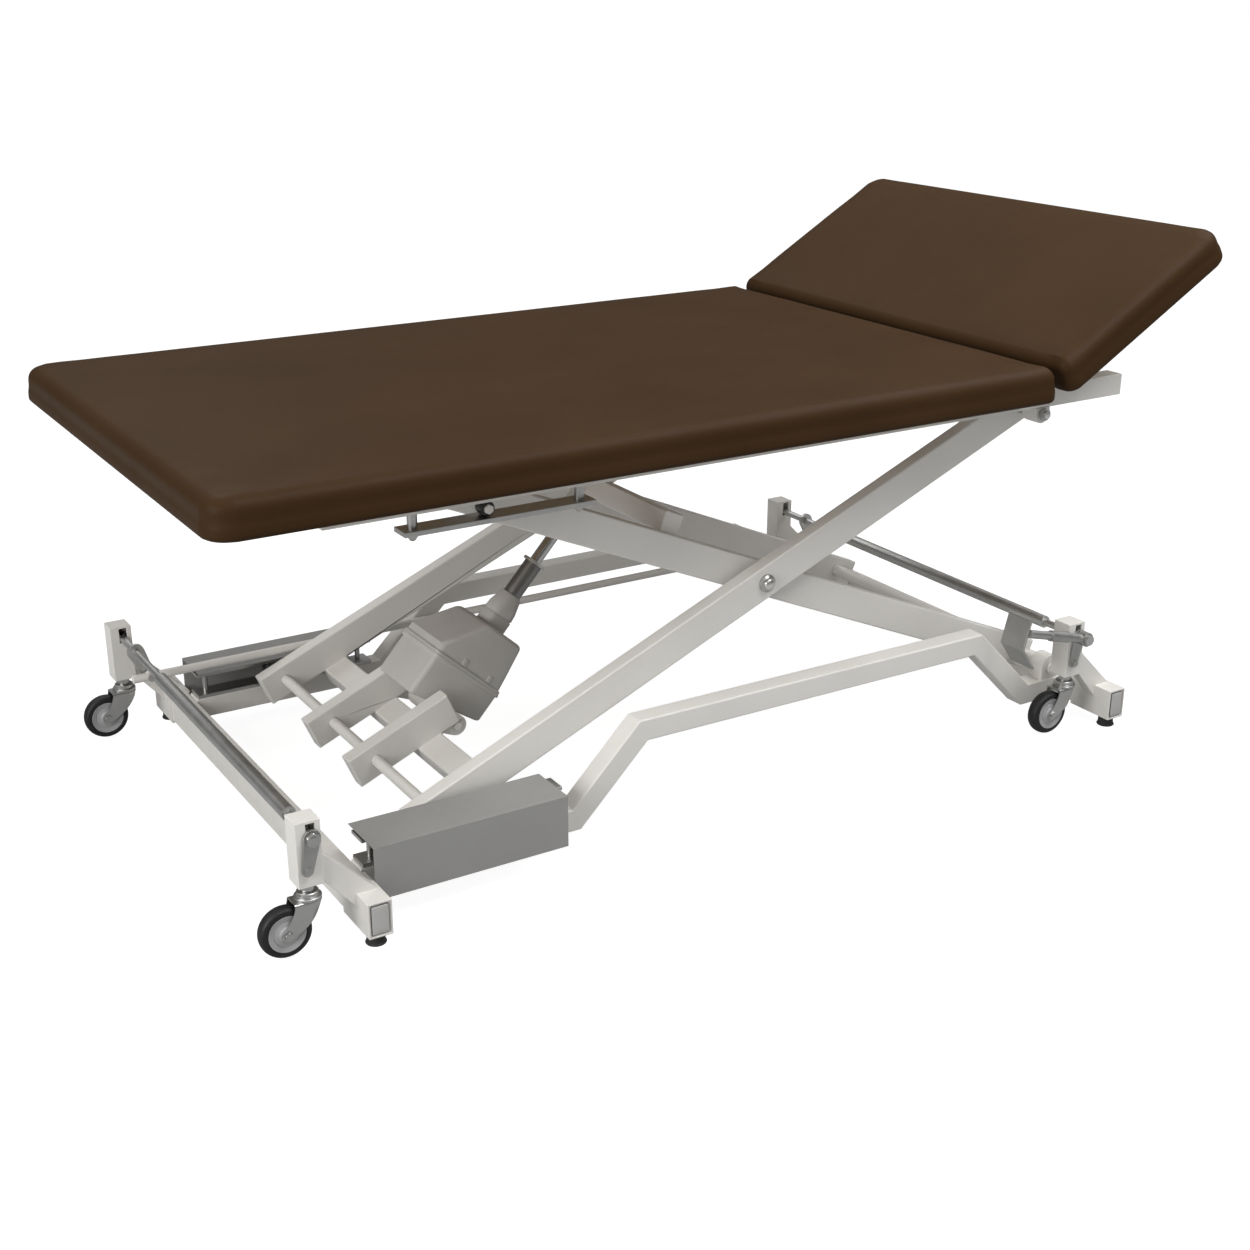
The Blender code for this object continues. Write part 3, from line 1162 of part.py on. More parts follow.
def centre_on_floor():
    """Put the middle of the whole table over the origin."""
    bpy.context.view_layer.update()
    spans = []
    for item in TABLE.objects:
        if item.type == "MESH":
            spans += [(item.matrix_world @ vertex.co).x for vertex in item.data.vertices]
    ORIGIN.location.x = -(min(spans) + max(spans)) / 2


base_beam("base_beam_foot", FOOT_BEAM_X, FOOT_POST_X)
base_beam("base_beam_head", HEAD_BEAM_X, HEAD_POST_X)
for row, sign in (("near", -1), ("far", 1)):
    base_rail("base_rail_" + row, sign)
    low_guide("low_guide_" + row, sign)
    guide_cover("guide_cover_" + row, sign)
    top_guide("top_guide_" + row, sign)
    for end_label, beam, post in (("foot", FOOT_BEAM_X, FOOT_POST_X), ("head", HEAD_BEAM_X, HEAD_POST_X)):
        rubber_foot("rubber_foot_" + end_label + "_" + row, beam, sign)
        caster(end_label + "_" + row, post, sign)
wheel_lift()
inner_frame()
outer_frame()
actuator()
top_frame()
lying_surface()
head_stay()
centre_on_floor()
bpy.data.collections.remove(WORKSHOP)
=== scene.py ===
import json
import math

import bmesh
import bpy
import numpy as np
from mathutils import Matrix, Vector

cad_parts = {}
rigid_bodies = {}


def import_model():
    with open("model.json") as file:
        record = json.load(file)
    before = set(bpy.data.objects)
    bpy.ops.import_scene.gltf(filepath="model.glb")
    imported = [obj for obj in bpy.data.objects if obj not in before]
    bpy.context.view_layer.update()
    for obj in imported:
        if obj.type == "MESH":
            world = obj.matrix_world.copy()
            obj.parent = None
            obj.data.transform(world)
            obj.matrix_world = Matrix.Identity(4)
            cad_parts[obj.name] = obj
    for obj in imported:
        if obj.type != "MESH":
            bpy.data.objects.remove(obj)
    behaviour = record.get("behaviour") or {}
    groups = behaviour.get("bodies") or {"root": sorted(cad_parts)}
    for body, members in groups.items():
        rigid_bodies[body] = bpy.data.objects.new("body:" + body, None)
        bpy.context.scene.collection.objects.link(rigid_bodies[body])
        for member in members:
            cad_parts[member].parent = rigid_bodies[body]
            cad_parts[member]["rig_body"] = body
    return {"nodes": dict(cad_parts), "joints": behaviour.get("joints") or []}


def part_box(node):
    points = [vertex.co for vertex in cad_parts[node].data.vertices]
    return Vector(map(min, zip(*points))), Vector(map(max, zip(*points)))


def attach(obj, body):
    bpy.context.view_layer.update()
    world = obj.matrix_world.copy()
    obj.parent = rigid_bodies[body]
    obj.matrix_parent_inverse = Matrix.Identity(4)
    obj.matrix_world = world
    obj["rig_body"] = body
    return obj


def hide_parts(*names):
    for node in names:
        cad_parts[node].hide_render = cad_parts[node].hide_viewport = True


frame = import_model()
bpy.context.view_layer.update()
pivot = {joint["name"]: np.array(joint["pos_m"]) for joint in frame["joints"] if joint.get("pos_m")}


# Base beams: two welded crosspieces of rectangular steel tube, one at the foot and one at the head.
# Each carries two square posts on slanting braces and is painted a warm off-white in a powder oven.
def mottle_group():
    """Shader group: smooth noise over the given place, stretched to run from Low to High."""
    tree = bpy.data.node_groups.new("mottle", "ShaderNodeTree")
    tree.interface.new_socket("Place", in_out="INPUT", socket_type="NodeSocketVector")
    for name in ("Scale", "Low", "High"):
        tree.interface.new_socket(name, in_out="INPUT", socket_type="NodeSocketFloat")
    tree.interface.new_socket("Value", in_out="OUTPUT", socket_type="NodeSocketFloat")
    given = tree.nodes.new("NodeGroupInput")
    noise = tree.nodes.new("ShaderNodeTexNoise")
    noise.inputs["Detail"].default_value = 4.0
    spread = tree.nodes.new("ShaderNodeMapRange")
    spread.inputs["From Min"].default_value = 0.3
    spread.inputs["From Max"].default_value = 0.7
    result = tree.nodes.new("NodeGroupOutput")
    tree.links.new(given.outputs["Place"], noise.inputs["Vector"])
    tree.links.new(given.outputs["Scale"], noise.inputs["Scale"])
    tree.links.new(noise.outputs["Fac"], spread.inputs["Value"])
    tree.links.new(given.outputs["Low"], spread.inputs["To Min"])
    tree.links.new(given.outputs["High"], spread.inputs["To Max"])
    tree.links.new(spread.outputs["Result"], result.inputs["Value"])
    return tree


def dust_group():
    """Shader group: a mask that is full at the floor, fades out at Reach above it and is broken by noise."""
    tree = bpy.data.node_groups.new("floor_dust", "ShaderNodeTree")
    tree.interface.new_socket("Place", in_out="INPUT", socket_type="NodeSocketVector")
    tree.interface.new_socket("Reach", in_out="INPUT", socket_type="NodeSocketFloat")
    tree.interface.new_socket("Amount", in_out="INPUT", socket_type="NodeSocketFloat")
    tree.interface.new_socket("Mask", in_out="OUTPUT", socket_type="NodeSocketFloat")
    given = tree.nodes.new("NodeGroupInput")
    split = tree.nodes.new("ShaderNodeSeparateXYZ")
    fade = tree.nodes.new("ShaderNodeMapRange")
    fade.interpolation_type = "SMOOTHSTEP"
    fade.inputs["To Min"].default_value = 1.0
    fade.inputs["To Max"].default_value = 0.0
    noise = tree.nodes.new("ShaderNodeTexNoise")
    noise.inputs["Scale"].default_value = 38.0
    noise.inputs["Detail"].default_value = 6.0
    broken = tree.nodes.new("ShaderNodeMath")
    broken.operation = "MULTIPLY"
    amount = tree.nodes.new("ShaderNodeMath")
    amount.operation = "MULTIPLY"
    result = tree.nodes.new("NodeGroupOutput")
    tree.links.new(given.outputs["Place"], split.inputs["Vector"])
    tree.links.new(given.outputs["Place"], noise.inputs["Vector"])
    tree.links.new(split.outputs["Z"], fade.inputs["Value"])
    tree.links.new(given.outputs["Reach"], fade.inputs["From Max"])
    tree.links.new(fade.outputs["Result"], broken.inputs[0])
    tree.links.new(noise.outputs["Fac"], broken.inputs[1])
    tree.links.new(broken.outputs["Value"], amount.inputs[0])
    tree.links.new(given.outputs["Amount"], amount.inputs[1])
    tree.links.new(amount.outputs["Value"], result.inputs["Mask"])
    return tree


GROUPS = {"mottle": mottle_group(), "dust": dust_group()}


def new_finish(name, **even):
    """Start a finish: its shader with the even values set on its own sockets, and its Object coordinates."""
    material = bpy.data.materials.new(name)
    material.use_nodes = True
    shader = material.node_tree.nodes["Principled BSDF"]
    for socket, value in even.items():
        shader.inputs[socket.replace("_", " ")].default_value = value
    place = material.node_tree.nodes.new("ShaderNodeTexCoord").outputs["Object"]
    return material, shader, place


def effect(material, group, place, **settings):
    """Put a shared group into a finish and give back its one output."""
    node = material.node_tree.nodes.new("ShaderNodeGroup")
    node.node_tree = GROUPS[group]
    material.node_tree.links.new(place, node.inputs["Place"])
    for socket, value in settings.items():
        node.inputs[socket].default_value = value
    return node.outputs[0]


def between(material, factor, first, second):
    """A colour from the first to the second as the factor goes from 0 to 1; either may be a socket."""
    mix = material.node_tree.nodes.new("ShaderNodeMix")
    mix.data_type = "RGBA"
    material.node_tree.links.new(factor, mix.inputs["Factor"])
    for socket, value in ((mix.inputs[6], first), (mix.inputs[7], second)):
        if isinstance(value, bpy.types.NodeSocket):
            material.node_tree.links.new(value, socket)
        else:
            socket.default_value = (*value, 1.0)
    return mix.outputs[2]


def relief(material, shader, height, depth, strength):
    """Raise the surface by a height from 0 to 1, depth metres at most."""
    bump = material.node_tree.nodes.new("ShaderNodeBump")
    bump.inputs["Distance"].default_value = depth
    bump.inputs["Strength"].default_value = strength
    material.node_tree.links.new(height, bump.inputs["Height"])
    material.node_tree.links.new(bump.outputs["Normal"], shader.inputs["Normal"])


def painted(name, dark, light, rough, dust):
    """Powder paint: faint cloudiness, a stippled film and dust near the floor."""
    material, shader, place = new_finish(name, Coat_Roughness=0.2, Coat_Weight=0.06)
    cloud = effect(material, "mottle", place, Scale=7.0, Low=0.0, High=1.0)
    clean = between(material, cloud, dark, light)
    soil = effect(material, "dust", place, Reach=0.22, Amount=dust)
    links = material.node_tree.links
    links.new(between(material, soil, clean, (0.42, 0.39, 0.34)), shader.inputs["Base Color"])
    gloss = effect(material, "mottle", place, Scale=60.0, Low=rough - 0.04, High=rough + 0.05)
    links.new(gloss, shader.inputs["Roughness"])
    stipple = effect(material, "mottle", place, Scale=520.0, Low=0.0, High=1.0)
    relief(material, shader, stipple, 0.00012, 0.35)
    return material


SHARP = math.radians(34.0)


def joining_group():
    """Geometry group: merge a solid's loose triangles, drop their stored normals and crease sharp edges."""
    tree = bpy.data.node_groups.new("joined_solid", "GeometryNodeTree")
    tree.interface.new_socket("Geometry", in_out="INPUT", socket_type="NodeSocketGeometry")
    tree.interface.new_socket("Geometry", in_out="OUTPUT", socket_type="NodeSocketGeometry")
    given = tree.nodes.new("NodeGroupInput")
    merge = tree.nodes.new("GeometryNodeMergeByDistance")
    merge.inputs["Distance"].default_value = 0.00001
    angle = tree.nodes.new("GeometryNodeInputMeshEdgeAngle")
    sharp = tree.nodes.new("FunctionNodeCompare")
    sharp.inputs["B"].default_value = SHARP
    normals = tree.nodes.new("GeometryNodeSetMeshNormal")
    normals.mode = "SHARPNESS"
    normals.inputs["Remove Custom"].default_value = True
    result = tree.nodes.new("NodeGroupOutput")
    tree.links.new(given.outputs[0], merge.inputs["Geometry"])
    tree.links.new(angle.outputs["Unsigned Angle"], sharp.inputs["A"])
    tree.links.new(sharp.outputs["Result"], normals.inputs["Edge Sharpness"])
    tree.links.new(merge.outputs["Geometry"], normals.inputs["Mesh"])
    tree.links.new(normals.outputs["Mesh"], result.inputs[0])
    return tree


def rounding_group():
    """Geometry group: weigh sharp edges for rounding by length, full at 60 mm and a third when short."""
    tree = bpy.data.node_groups.new("edge_rounding", "GeometryNodeTree")
    tree.interface.new_socket("Geometry", in_out="INPUT", socket_type="NodeSocketGeometry")
    tree.interface.new_socket("Geometry", in_out="OUTPUT", socket_type="NodeSocketGeometry")
    given = tree.nodes.new("NodeGroupInput")
    angle = tree.nodes.new("GeometryNodeInputMeshEdgeAngle")
    sharp = tree.nodes.new("FunctionNodeCompare")
    sharp.inputs["B"].default_value = SHARP
    ends = tree.nodes.new("GeometryNodeInputMeshEdgeVertices")
    length = tree.nodes.new("ShaderNodeVectorMath")
    length.operation = "DISTANCE"
    share = tree.nodes.new("ShaderNodeMapRange")
    share.inputs["From Min"].default_value = 0.020
    share.inputs["From Max"].default_value = 0.060
    share.inputs["To Min"].default_value = 0.33
    weight = tree.nodes.new("ShaderNodeMath")
    weight.operation = "MULTIPLY"
    store = tree.nodes.new("GeometryNodeStoreNamedAttribute")
    store.domain = "EDGE"
    store.inputs["Name"].default_value = "bevel_weight_edge"
    result = tree.nodes.new("NodeGroupOutput")
    tree.links.new(angle.outputs["Unsigned Angle"], sharp.inputs["A"])
    tree.links.new(ends.outputs["Position 1"], length.inputs[0])
    tree.links.new(ends.outputs["Position 2"], length.inputs[1])
    tree.links.new(length.outputs["Value"], share.inputs["Value"])
    tree.links.new(share.outputs["Result"], weight.inputs[0])
    tree.links.new(sharp.outputs["Result"], weight.inputs[1])
    tree.links.new(given.outputs[0], store.inputs["Geometry"])
    tree.links.new(weight.outputs["Value"], store.inputs["Value"])
    tree.links.new(store.outputs["Geometry"], result.inputs[0])
    return tree


JOINED = joining_group()
ROUNDING = rounding_group()


def dress(name, finish, edge):
    """Give a solid of the frame its finish and round its sharp edges by a radius."""
    node = frame["nodes"][name]
    for slot in node.material_slots:
        slot.material = finish
    joined = node.modifiers.new("joined", "NODES")
    joined.node_group = JOINED
    flat = node.modifiers.new("flat", "DECIMATE")
    flat.decimate_type = "DISSOLVE"
    flat.angle_limit = math.radians(0.4)
    weighed = node.modifiers.new("weighed", "NODES")
    weighed.node_group = ROUNDING
    rounded = node.modifiers.new("rounded", "BEVEL")
    rounded.width = edge
    rounded.segments = 3
    rounded.limit_method = "WEIGHT"
    rounded.use_clamp_overlap = False
    rounded.miter_outer = "MITER_ARC"
    rounded.harden_normals = True


PAINT = painted("off_white_paint", (0.78, 0.762, 0.725), (0.82, 0.802, 0.765), 0.36, 0.35)
for end in ("foot", "head"):
    dress("base_beam_" + end, PAINT, 0.0012)


# Beam end plugs: slightly domed grey plastic caps pressed into the open ends of the beam sleeves.
# Each sits on a thin near-black plate a little larger than itself. The plate is painted shade: it draws the
# shadow of the gap round the plug as a dark line.
def skin(rings):
    """Closed skin over rings of equal length: quads between neighbours and one face over each end."""
    count, around = rings.shape[:2]
    index = np.arange(count * around).reshape(count, around)
    after = np.roll(index, -1, axis=1)
    quads = np.stack((index[:-1], after[:-1], after[1:], index[1:]), axis=-1).reshape(-1, 4)
    return rings.reshape(-1, 3), quads.tolist() + [index[0][::-1].tolist(), index[-1].tolist()]


def gathered(shapes):
    """Several shapes as one: their points in one array and their faces renumbered."""
    faces = []
    start = 0
    for points, part in shapes:
        faces += [[int(corner + start) for corner in face] for face in part]
        start += len(points)
    return np.concatenate([points for points, _ in shapes]), faces


def extent(name):
    """The low and the high corner of a solid's box, as two rows."""
    return np.array(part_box(name))


def new_piece(name, shape, finish, body):
    """Make an object of a shape's points and faces, turn its faces outward and let it ride on a body."""
    points, faces = shape
    mesh = bpy.data.meshes.new(name)
    mesh.from_pydata(np.asarray(points, float).tolist(), [], faces)
    work = bmesh.new()
    work.from_mesh(mesh)
    bmesh.ops.remove_doubles(work, verts=work.verts, dist=0.000001)
    bmesh.ops.recalc_face_normals(work, faces=work.faces)
    work.to_mesh(mesh)
    work.free()
    mesh.shade_smooth()
    mesh.set_sharp_from_angle(angle=math.radians(38.0))
    mesh.materials.append(finish)
    item = bpy.data.objects.new(name, mesh)
    bpy.context.scene.collection.objects.link(item)
    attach(item, body)
    return item


def rounded_outline(half_u, half_v, radius, steps):
    """Outline of a rectangle with round corners: a quarter circle of the given steps at each corner."""
    quarter = np.linspace(0.0, math.pi / 2, steps)
    turn = (quarter[None, :] + np.arange(4)[:, None] * math.pi / 2).ravel()
    side_u = np.repeat([1, -1, -1, 1], steps) * (half_u - radius)
    side_v = np.repeat([1, 1, -1, -1], steps) * (half_v - radius)
    return np.stack((side_u + radius * np.cos(turn), side_v + radius * np.sin(turn)), axis=-1)


def raised_plate(centre, side, half_u, half_w, corner, lean=0.0):
    """Plate on the XZ plane, turned by a lean: its rim is a quarter round and its face swells to 1.9 mm."""
    outline = rounded_outline(half_u, half_w, corner, 5)
    inset = np.array([0.0, 0.0, 0.0003, 0.0010, 0.4 * half_u, 0.8 * half_u])
    rise = np.array([0.0, 0.0009, 0.0013, 0.0015, 0.0018, 0.0019])
    flat = outline[None] * (1.0 - inset[:, None, None] / np.array([half_u, half_w]))
    x = flat[..., 0] * math.cos(lean) - flat[..., 1] * math.sin(lean)
    z = flat[..., 0] * math.sin(lean) + flat[..., 1] * math.cos(lean)
    return skin(np.stack((x, np.broadcast_to(side * rise[:, None], x.shape), z), axis=-1) + centre)


def moulded(name, dark, light, rough, grain, depth):
    """Moulded plastic: an even colour with slight clouds and a spark-eroded grain of the given fineness."""
    material, shader, place = new_finish(name)
    links = material.node_tree.links
    cloud = effect(material, "mottle", place, Scale=18.0, Low=0.0, High=1.0)
    links.new(between(material, cloud, dark, light), shader.inputs["Base Color"])
    gloss = effect(material, "mottle", place, Scale=90.0, Low=rough - 0.05, High=rough + 0.06)
    links.new(gloss, shader.inputs["Roughness"])
    pits = effect(material, "mottle", place, Scale=grain, Low=0.0, High=1.0)
    relief(material, shader, pits, depth, 0.5)
    return material


PLUG_GREY = moulded("plug_plastic", (0.44, 0.435, 0.42), (0.50, 0.495, 0.48), 0.42, 900.0, 0.00008)
# The near-black plastic below is painted shade: it stands for the shadowed gap round each plug, not for a
# real part.
PLUG_SHADE_RIM = moulded("plug_rim_plastic", (0.07, 0.069, 0.067), (0.10, 0.099, 0.096), 0.55, 900.0, 0.00008)
SHADE_RIM_SIZE = (0.0152, 0.0252, 0.003)
PLUG_SIZE = (0.0140, 0.0240, 0.002)
PLUG_PROUD = 0.0007
SLEEVE_END = 0.51804
SLEEVE_MIDDLE = 0.050
plugs = []
shade_rims = []
for end in ("foot", "head"):
    beam_x = extent("rubber_foot_" + end + "_near")[:, 0].mean()
    for side in (-1, 1):
        seat = np.array((beam_x, side * SLEEVE_END, SLEEVE_MIDDLE))
        shade_rims.append(raised_plate(seat, side, *SHADE_RIM_SIZE))
        plugs.append(raised_plate(seat + (0.0, side * PLUG_PROUD, 0.0), side, *PLUG_SIZE))
# Painted shade: a dark plate behind each plug draws the shadow of the gap round it.
new_piece("beam_plug_rims", gathered(shade_rims), PLUG_SHADE_RIM, "base")
new_piece("beam_end_plugs", gathered(plugs), PLUG_GREY, "base")


# Base rails: two square steel tubes that rise from the foot beam, run level above the floor and
# come down again to the head beam; each has a round-topped lug for the scissor frame's low pivot.
for side in ("near", "far"):
    dress("base_rail_" + side, PAINT, 0.0030)


# Weld runs: the rippled seams where the braces were welded to the posts before painting.
# Each is a thin bead of steel under the paint.
def weld_run(start, end, radius):
    """Bead along a straight line: a circle whose radius ripples with the length and tapers at both ends."""
    start, end = np.array(start, float), np.array(end, float)
    length = np.linalg.norm(end - start)
    along = np.linspace(0.0, 1.0, max(int(length / 0.0009), 8))
    ripple = radius * (1.0 + 0.10 * np.cos(along * length / 0.0034 * 2 * math.pi))
    ripple = ripple * np.clip(np.minimum(along, 1.0 - along) * length / (2 * radius), 0.25, 1.0)
    forward = (end - start) / length
    across = np.cross(forward, (0.31, 0.52, 0.79))
    across = across / np.linalg.norm(across)
    up = np.cross(forward, across)
    turn = np.linspace(0.0, 2 * math.pi, 8, endpoint=False)
    circle = np.cos(turn)[:, None] * across + np.sin(turn)[:, None] * up
    rings = start + along[:, None, None] * (end - start) + ripple[:, None, None] * circle[None]
    return skin(rings)


POST_HALF = 0.020
POST_Y = abs(pivot["swivel_foot_near"][1])
BRACE_HALF = 0.012
BRACE_LOW = 0.122
BRACE_HIGH = 0.166
TOP_SEAM_HALF = 0.011
TOP_SEAM = 0.1672
BEAD = 0.0015
seams = []
for post_x in (pivot["swivel_foot_near"][0], pivot["swivel_head_near"][0]):
    brace_x = post_x + POST_HALF
    for post_y in (-POST_Y, POST_Y):
        for edge in (post_y - BRACE_HALF, post_y + BRACE_HALF):
            seams.append(weld_run((brace_x, edge, BRACE_LOW), (brace_x, edge, BRACE_HIGH), BEAD))
        start = (brace_x, post_y - TOP_SEAM_HALF, TOP_SEAM)
        seams.append(weld_run(start, (brace_x, post_y + TOP_SEAM_HALF, TOP_SEAM), BEAD))
new_piece("base_weld_seams", gathered(seams), PAINT, "base")


# Rubber feet: four tapered black feet screwed up into the beams, on which the table stands
# when its wheels are raised.
BLACK_RUBBER = moulded("black_rubber", (0.016, 0.016, 0.016), (0.030, 0.029, 0.028), 0.68, 420.0, 0.0002)
for end in ("foot", "head"):
    for side in ("near", "far"):
        dress("rubber_foot_" + end + "_" + side, BLACK_RUBBER, 0.0012)


# Roller guides: plated flat bars on spacers along both base rails and under the top frame, with nuts.
# The nylon rollers of the scissor run between bar and rail.
def plated(name, dark, light, rough):
    """Bright zinc plating: bare metal with cloudy reflection and faint waves."""
    material, shader, place = new_finish(name, Metallic=1.0)
    links = material.node_tree.links
    cloud = effect(material, "mottle", place, Scale=24.0, Low=0.0, High=1.0)
    links.new(between(material, cloud, dark, light), shader.inputs["Base Color"])
    gloss = effect(material, "mottle", place, Scale=40.0, Low=rough - 0.03, High=rough + 0.05)
    links.new(gloss, shader.inputs["Roughness"])
    waves = effect(material, "mottle", place, Scale=90.0, Low=0.0, High=1.0)
    relief(material, shader, waves, 0.00006, 0.05)
    return material


def cap_nut(centre, up, flat, height, domed):
    """Nut that points along up: a hexagon whose radius is the flat over the cosine of the angle to the middle
    of the nearest side, cut to a circle at its edge, and then a quarter ellipse or a plain end."""
    turn = np.linspace(0.0, 2 * math.pi, 48, endpoint=False)
    hexagon = flat / np.cos(turn % (math.pi / 3) - math.pi / 6)
    rise = np.linspace(0.0, math.pi / 2 - 0.05, 7)[:, None]
    body, tip = (0.42, 0.80) if domed else (0.92, 0.60)
    dome = tip * flat * np.cos(rise) * np.ones(48)
    radius = np.vstack((hexagon, hexagon, np.minimum(hexagon, 1.03 * flat), dome))
    along = np.concatenate(((0.0, 0.85 * body, body), body + (1.0 - body) * np.sin(rise[:, 0]))) * height
    up = np.array(up, float)
    across = np.roll(np.abs(up), 1)
    sideways = np.cross(up, across)
    flat_part = np.cos(turn)[:, None] * across + np.sin(turn)[:, None] * sideways
    return skin(np.array(centre) + radius[..., None] * flat_part[None] + along[:, None, None] * up)


ZINC = plated("zinc_plating", (0.47, 0.47, 0.46), (0.53, 0.53, 0.52), 0.33)
NYLON = moulded("black_nylon", (0.022, 0.022, 0.023), (0.035, 0.035, 0.036), 0.42, 600.0, 0.0001)
for side in ("near", "far"):
    dress("low_guide_" + side, ZINC, 0.0006)
    dress("top_guide_" + side, ZINC, 0.0006)
    dress("low_roller_" + side, NYLON, 0.0008)
    dress("top_roller_" + side, NYLON, 0.0008)
NUT_INSET = 0.021
NUT_SEAT = 0.0035
NUT_FLAT = 0.0085
NUT_HEIGHT = 0.0125
guide_nuts = []
for side in ("near", "far"):
    low, high = extent("top_guide_" + side)
    for bolt_x in (low[0] + NUT_INSET, high[0] - NUT_INSET):
        seat = (bolt_x, (low[1] + high[1]) / 2, low[2] + NUT_SEAT)
        guide_nuts.append(cap_nut(seat, (0, 0, -1), NUT_FLAT, NUT_HEIGHT, True))
new_piece("guide_cap_nuts", gathered(guide_nuts), ZINC, "top")


# Guide covers: thin steel sheet in grey paint that keeps fingers out of the low rollers.
# Each is folded from one piece and sits over the guide on its base rail.
SHEET = painted("grey_sheet_paint", (0.300, 0.298, 0.292), (0.322, 0.320, 0.313), 0.44, 0.15)
for side in ("near", "far"):
    dress("guide_cover_" + side, SHEET, 0.0007)


# Scissor frames: two pairs of flat rectangular tubes joined by cross tubes and painted like the base.
# They cross at two plated bolts, and a plated tube is their top pivot.
dress("inner_frame", PAINT, 0.0034)
dress("outer_frame", PAINT, 0.0034)
dress("low_pivot_tube", PAINT, 0.0008)
dress("top_pivot_tube", ZINC, 0.0008)
dress("roller_axle", PAINT, 0.0006)
for side in ("near", "far"):
    dress("centre_bolt_" + side, ZINC, 0.0012)


# Bolt caps: smooth satin domes pressed over the heads of the two centre bolts of the scissor.
# Low plated nuts close the ends of its top pivot tube.
def dome(centre, side, radius, height):
    """Dome on the XZ plane: rings of a quarter ellipse that close on the tip."""
    rise = np.linspace(0.0, math.pi / 2 - 0.02, 9)[:, None]
    turn = np.linspace(0.0, 2 * math.pi, 32, endpoint=False)[None]
    flat = radius * np.cos(rise)
    out = np.broadcast_to(side * height * np.sin(rise), (9, 32))
    return skin(np.stack((flat * np.cos(turn), out, flat * np.sin(turn)), axis=-1) + centre)


SATIN = plated("satin_caps", (0.70, 0.70, 0.69), (0.78, 0.78, 0.77), 0.34)
CAP_RADIUS = 0.0105
CAP_HEIGHT = 0.006
CAP_GAP = 0.0001
for name, side in (("centre_bolt_near", -1), ("centre_bolt_far", 1)):
    low, high = extent(name)
    face = (low + high) / 2
    face[1] = high[1] if side > 0 else low[1]
    cap = dome(face + (0.0, side * CAP_GAP, 0.0), side, CAP_RADIUS, CAP_HEIGHT)
    new_piece(name + "_cap", cap, SATIN, frame["nodes"][name]["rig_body"])

TUBE_NUT_FLAT = 0.0068
TUBE_NUT_HEIGHT = 0.0050
low, high = extent("top_pivot_tube")
pivot_nuts = []
for side, face_y in ((-1, low[1]), (1, high[1])):
    seat = ((low[0] + high[0]) / 2, face_y, (low[2] + high[2]) / 2)
    pivot_nuts.append(cap_nut(seat, (0, side, 0), TUBE_NUT_FLAT, TUBE_NUT_HEIGHT, False))
pivot_body = frame["nodes"]["top_pivot_tube"]["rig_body"]
new_piece("top_pivot_nuts", gathered(pivot_nuts), SATIN, pivot_body)


# Lifting actuator: a linear motor in a two-part moulded case that snaps together round its rim.
# Its stepped neck holds a dark guide tube with a flange, in which a bright steel rod slides up to the
# lifting cross tube.
def turned_ring(profile, centre, steps, upright=False):
    """Ring turned about the Y line through a centre, or the Z line when upright: a closed outline of
    (radius, along) carried round."""
    turn = np.linspace(0.0, 2 * math.pi, steps, endpoint=False)[:, None]
    radius, along = profile[:, 0][None], profile[:, 1][None]
    points = np.stack((radius * np.cos(turn), along + 0.0 * turn, radius * np.sin(turn)), axis=-1)
    points = (points[..., [0, 2, 1]] if upright else points) + centre
    index = np.arange(steps * len(profile)).reshape(steps, -1)
    after = np.roll(index, -1, axis=0)
    quads = np.stack((index, after, np.roll(after, -1, axis=1), np.roll(index, -1, axis=1)), axis=-1)
    return points.reshape(-1, 3), quads.reshape(-1, 4).tolist()


def case_shell(along, low, high, half, corner):
    """Rings of a case, one at each station along the actuator: rectangles that reach from low to high across
    it and half to either side, with quarter circles at their corners."""
    turn = (np.linspace(0.0, math.pi / 2, 7)[None] + np.arange(4)[:, None] * math.pi / 2).ravel()
    up, out = np.repeat([1, -1, -1, 1], 7), np.repeat([1, 1, -1, -1], 7)
    middle, reach = (high + low)[:, None] / 2, ((high - low) / 2 - corner)[:, None]
    across = middle + up * reach + corner[:, None] * np.cos(turn)
    sideways = out * (half - corner)[:, None] + corner[:, None] * np.sin(turn)
    return np.stack((along[:, None] + 0.0 * across, across, sideways), axis=-1)


ACTUATOR_LEAN = math.radians(47.81)
ALONG = np.array((math.cos(ACTUATOR_LEAN), 0.0, math.sin(ACTUATOR_LEAN)))
ACROSS = np.array((-math.sin(ACTUATOR_LEAN), 0.0, math.cos(ACTUATOR_LEAN)))


def on_actuator(points):
    """Points given along, across and sideways of the actuator, from its foot pin, put in the frame's axes."""
    sideways = points[..., 2:] * np.array((0.0, 1.0, 0.0))
    return pivot["actuator_swing"] + points[..., :1] * ALONG + points[..., 1:2] * ACROSS + sideways


CASE = moulded("case_plastic", (0.50, 0.485, 0.46), (0.53, 0.515, 0.49), 0.50, 800.0, 0.00012)
CASE_HALF = 0.068
CASE_SPLIT = 0.085
CORNER_SHARE = 0.6
ROD_BORE = 0.0113
round_turn = np.linspace(0.0, math.pi / 2, 7)

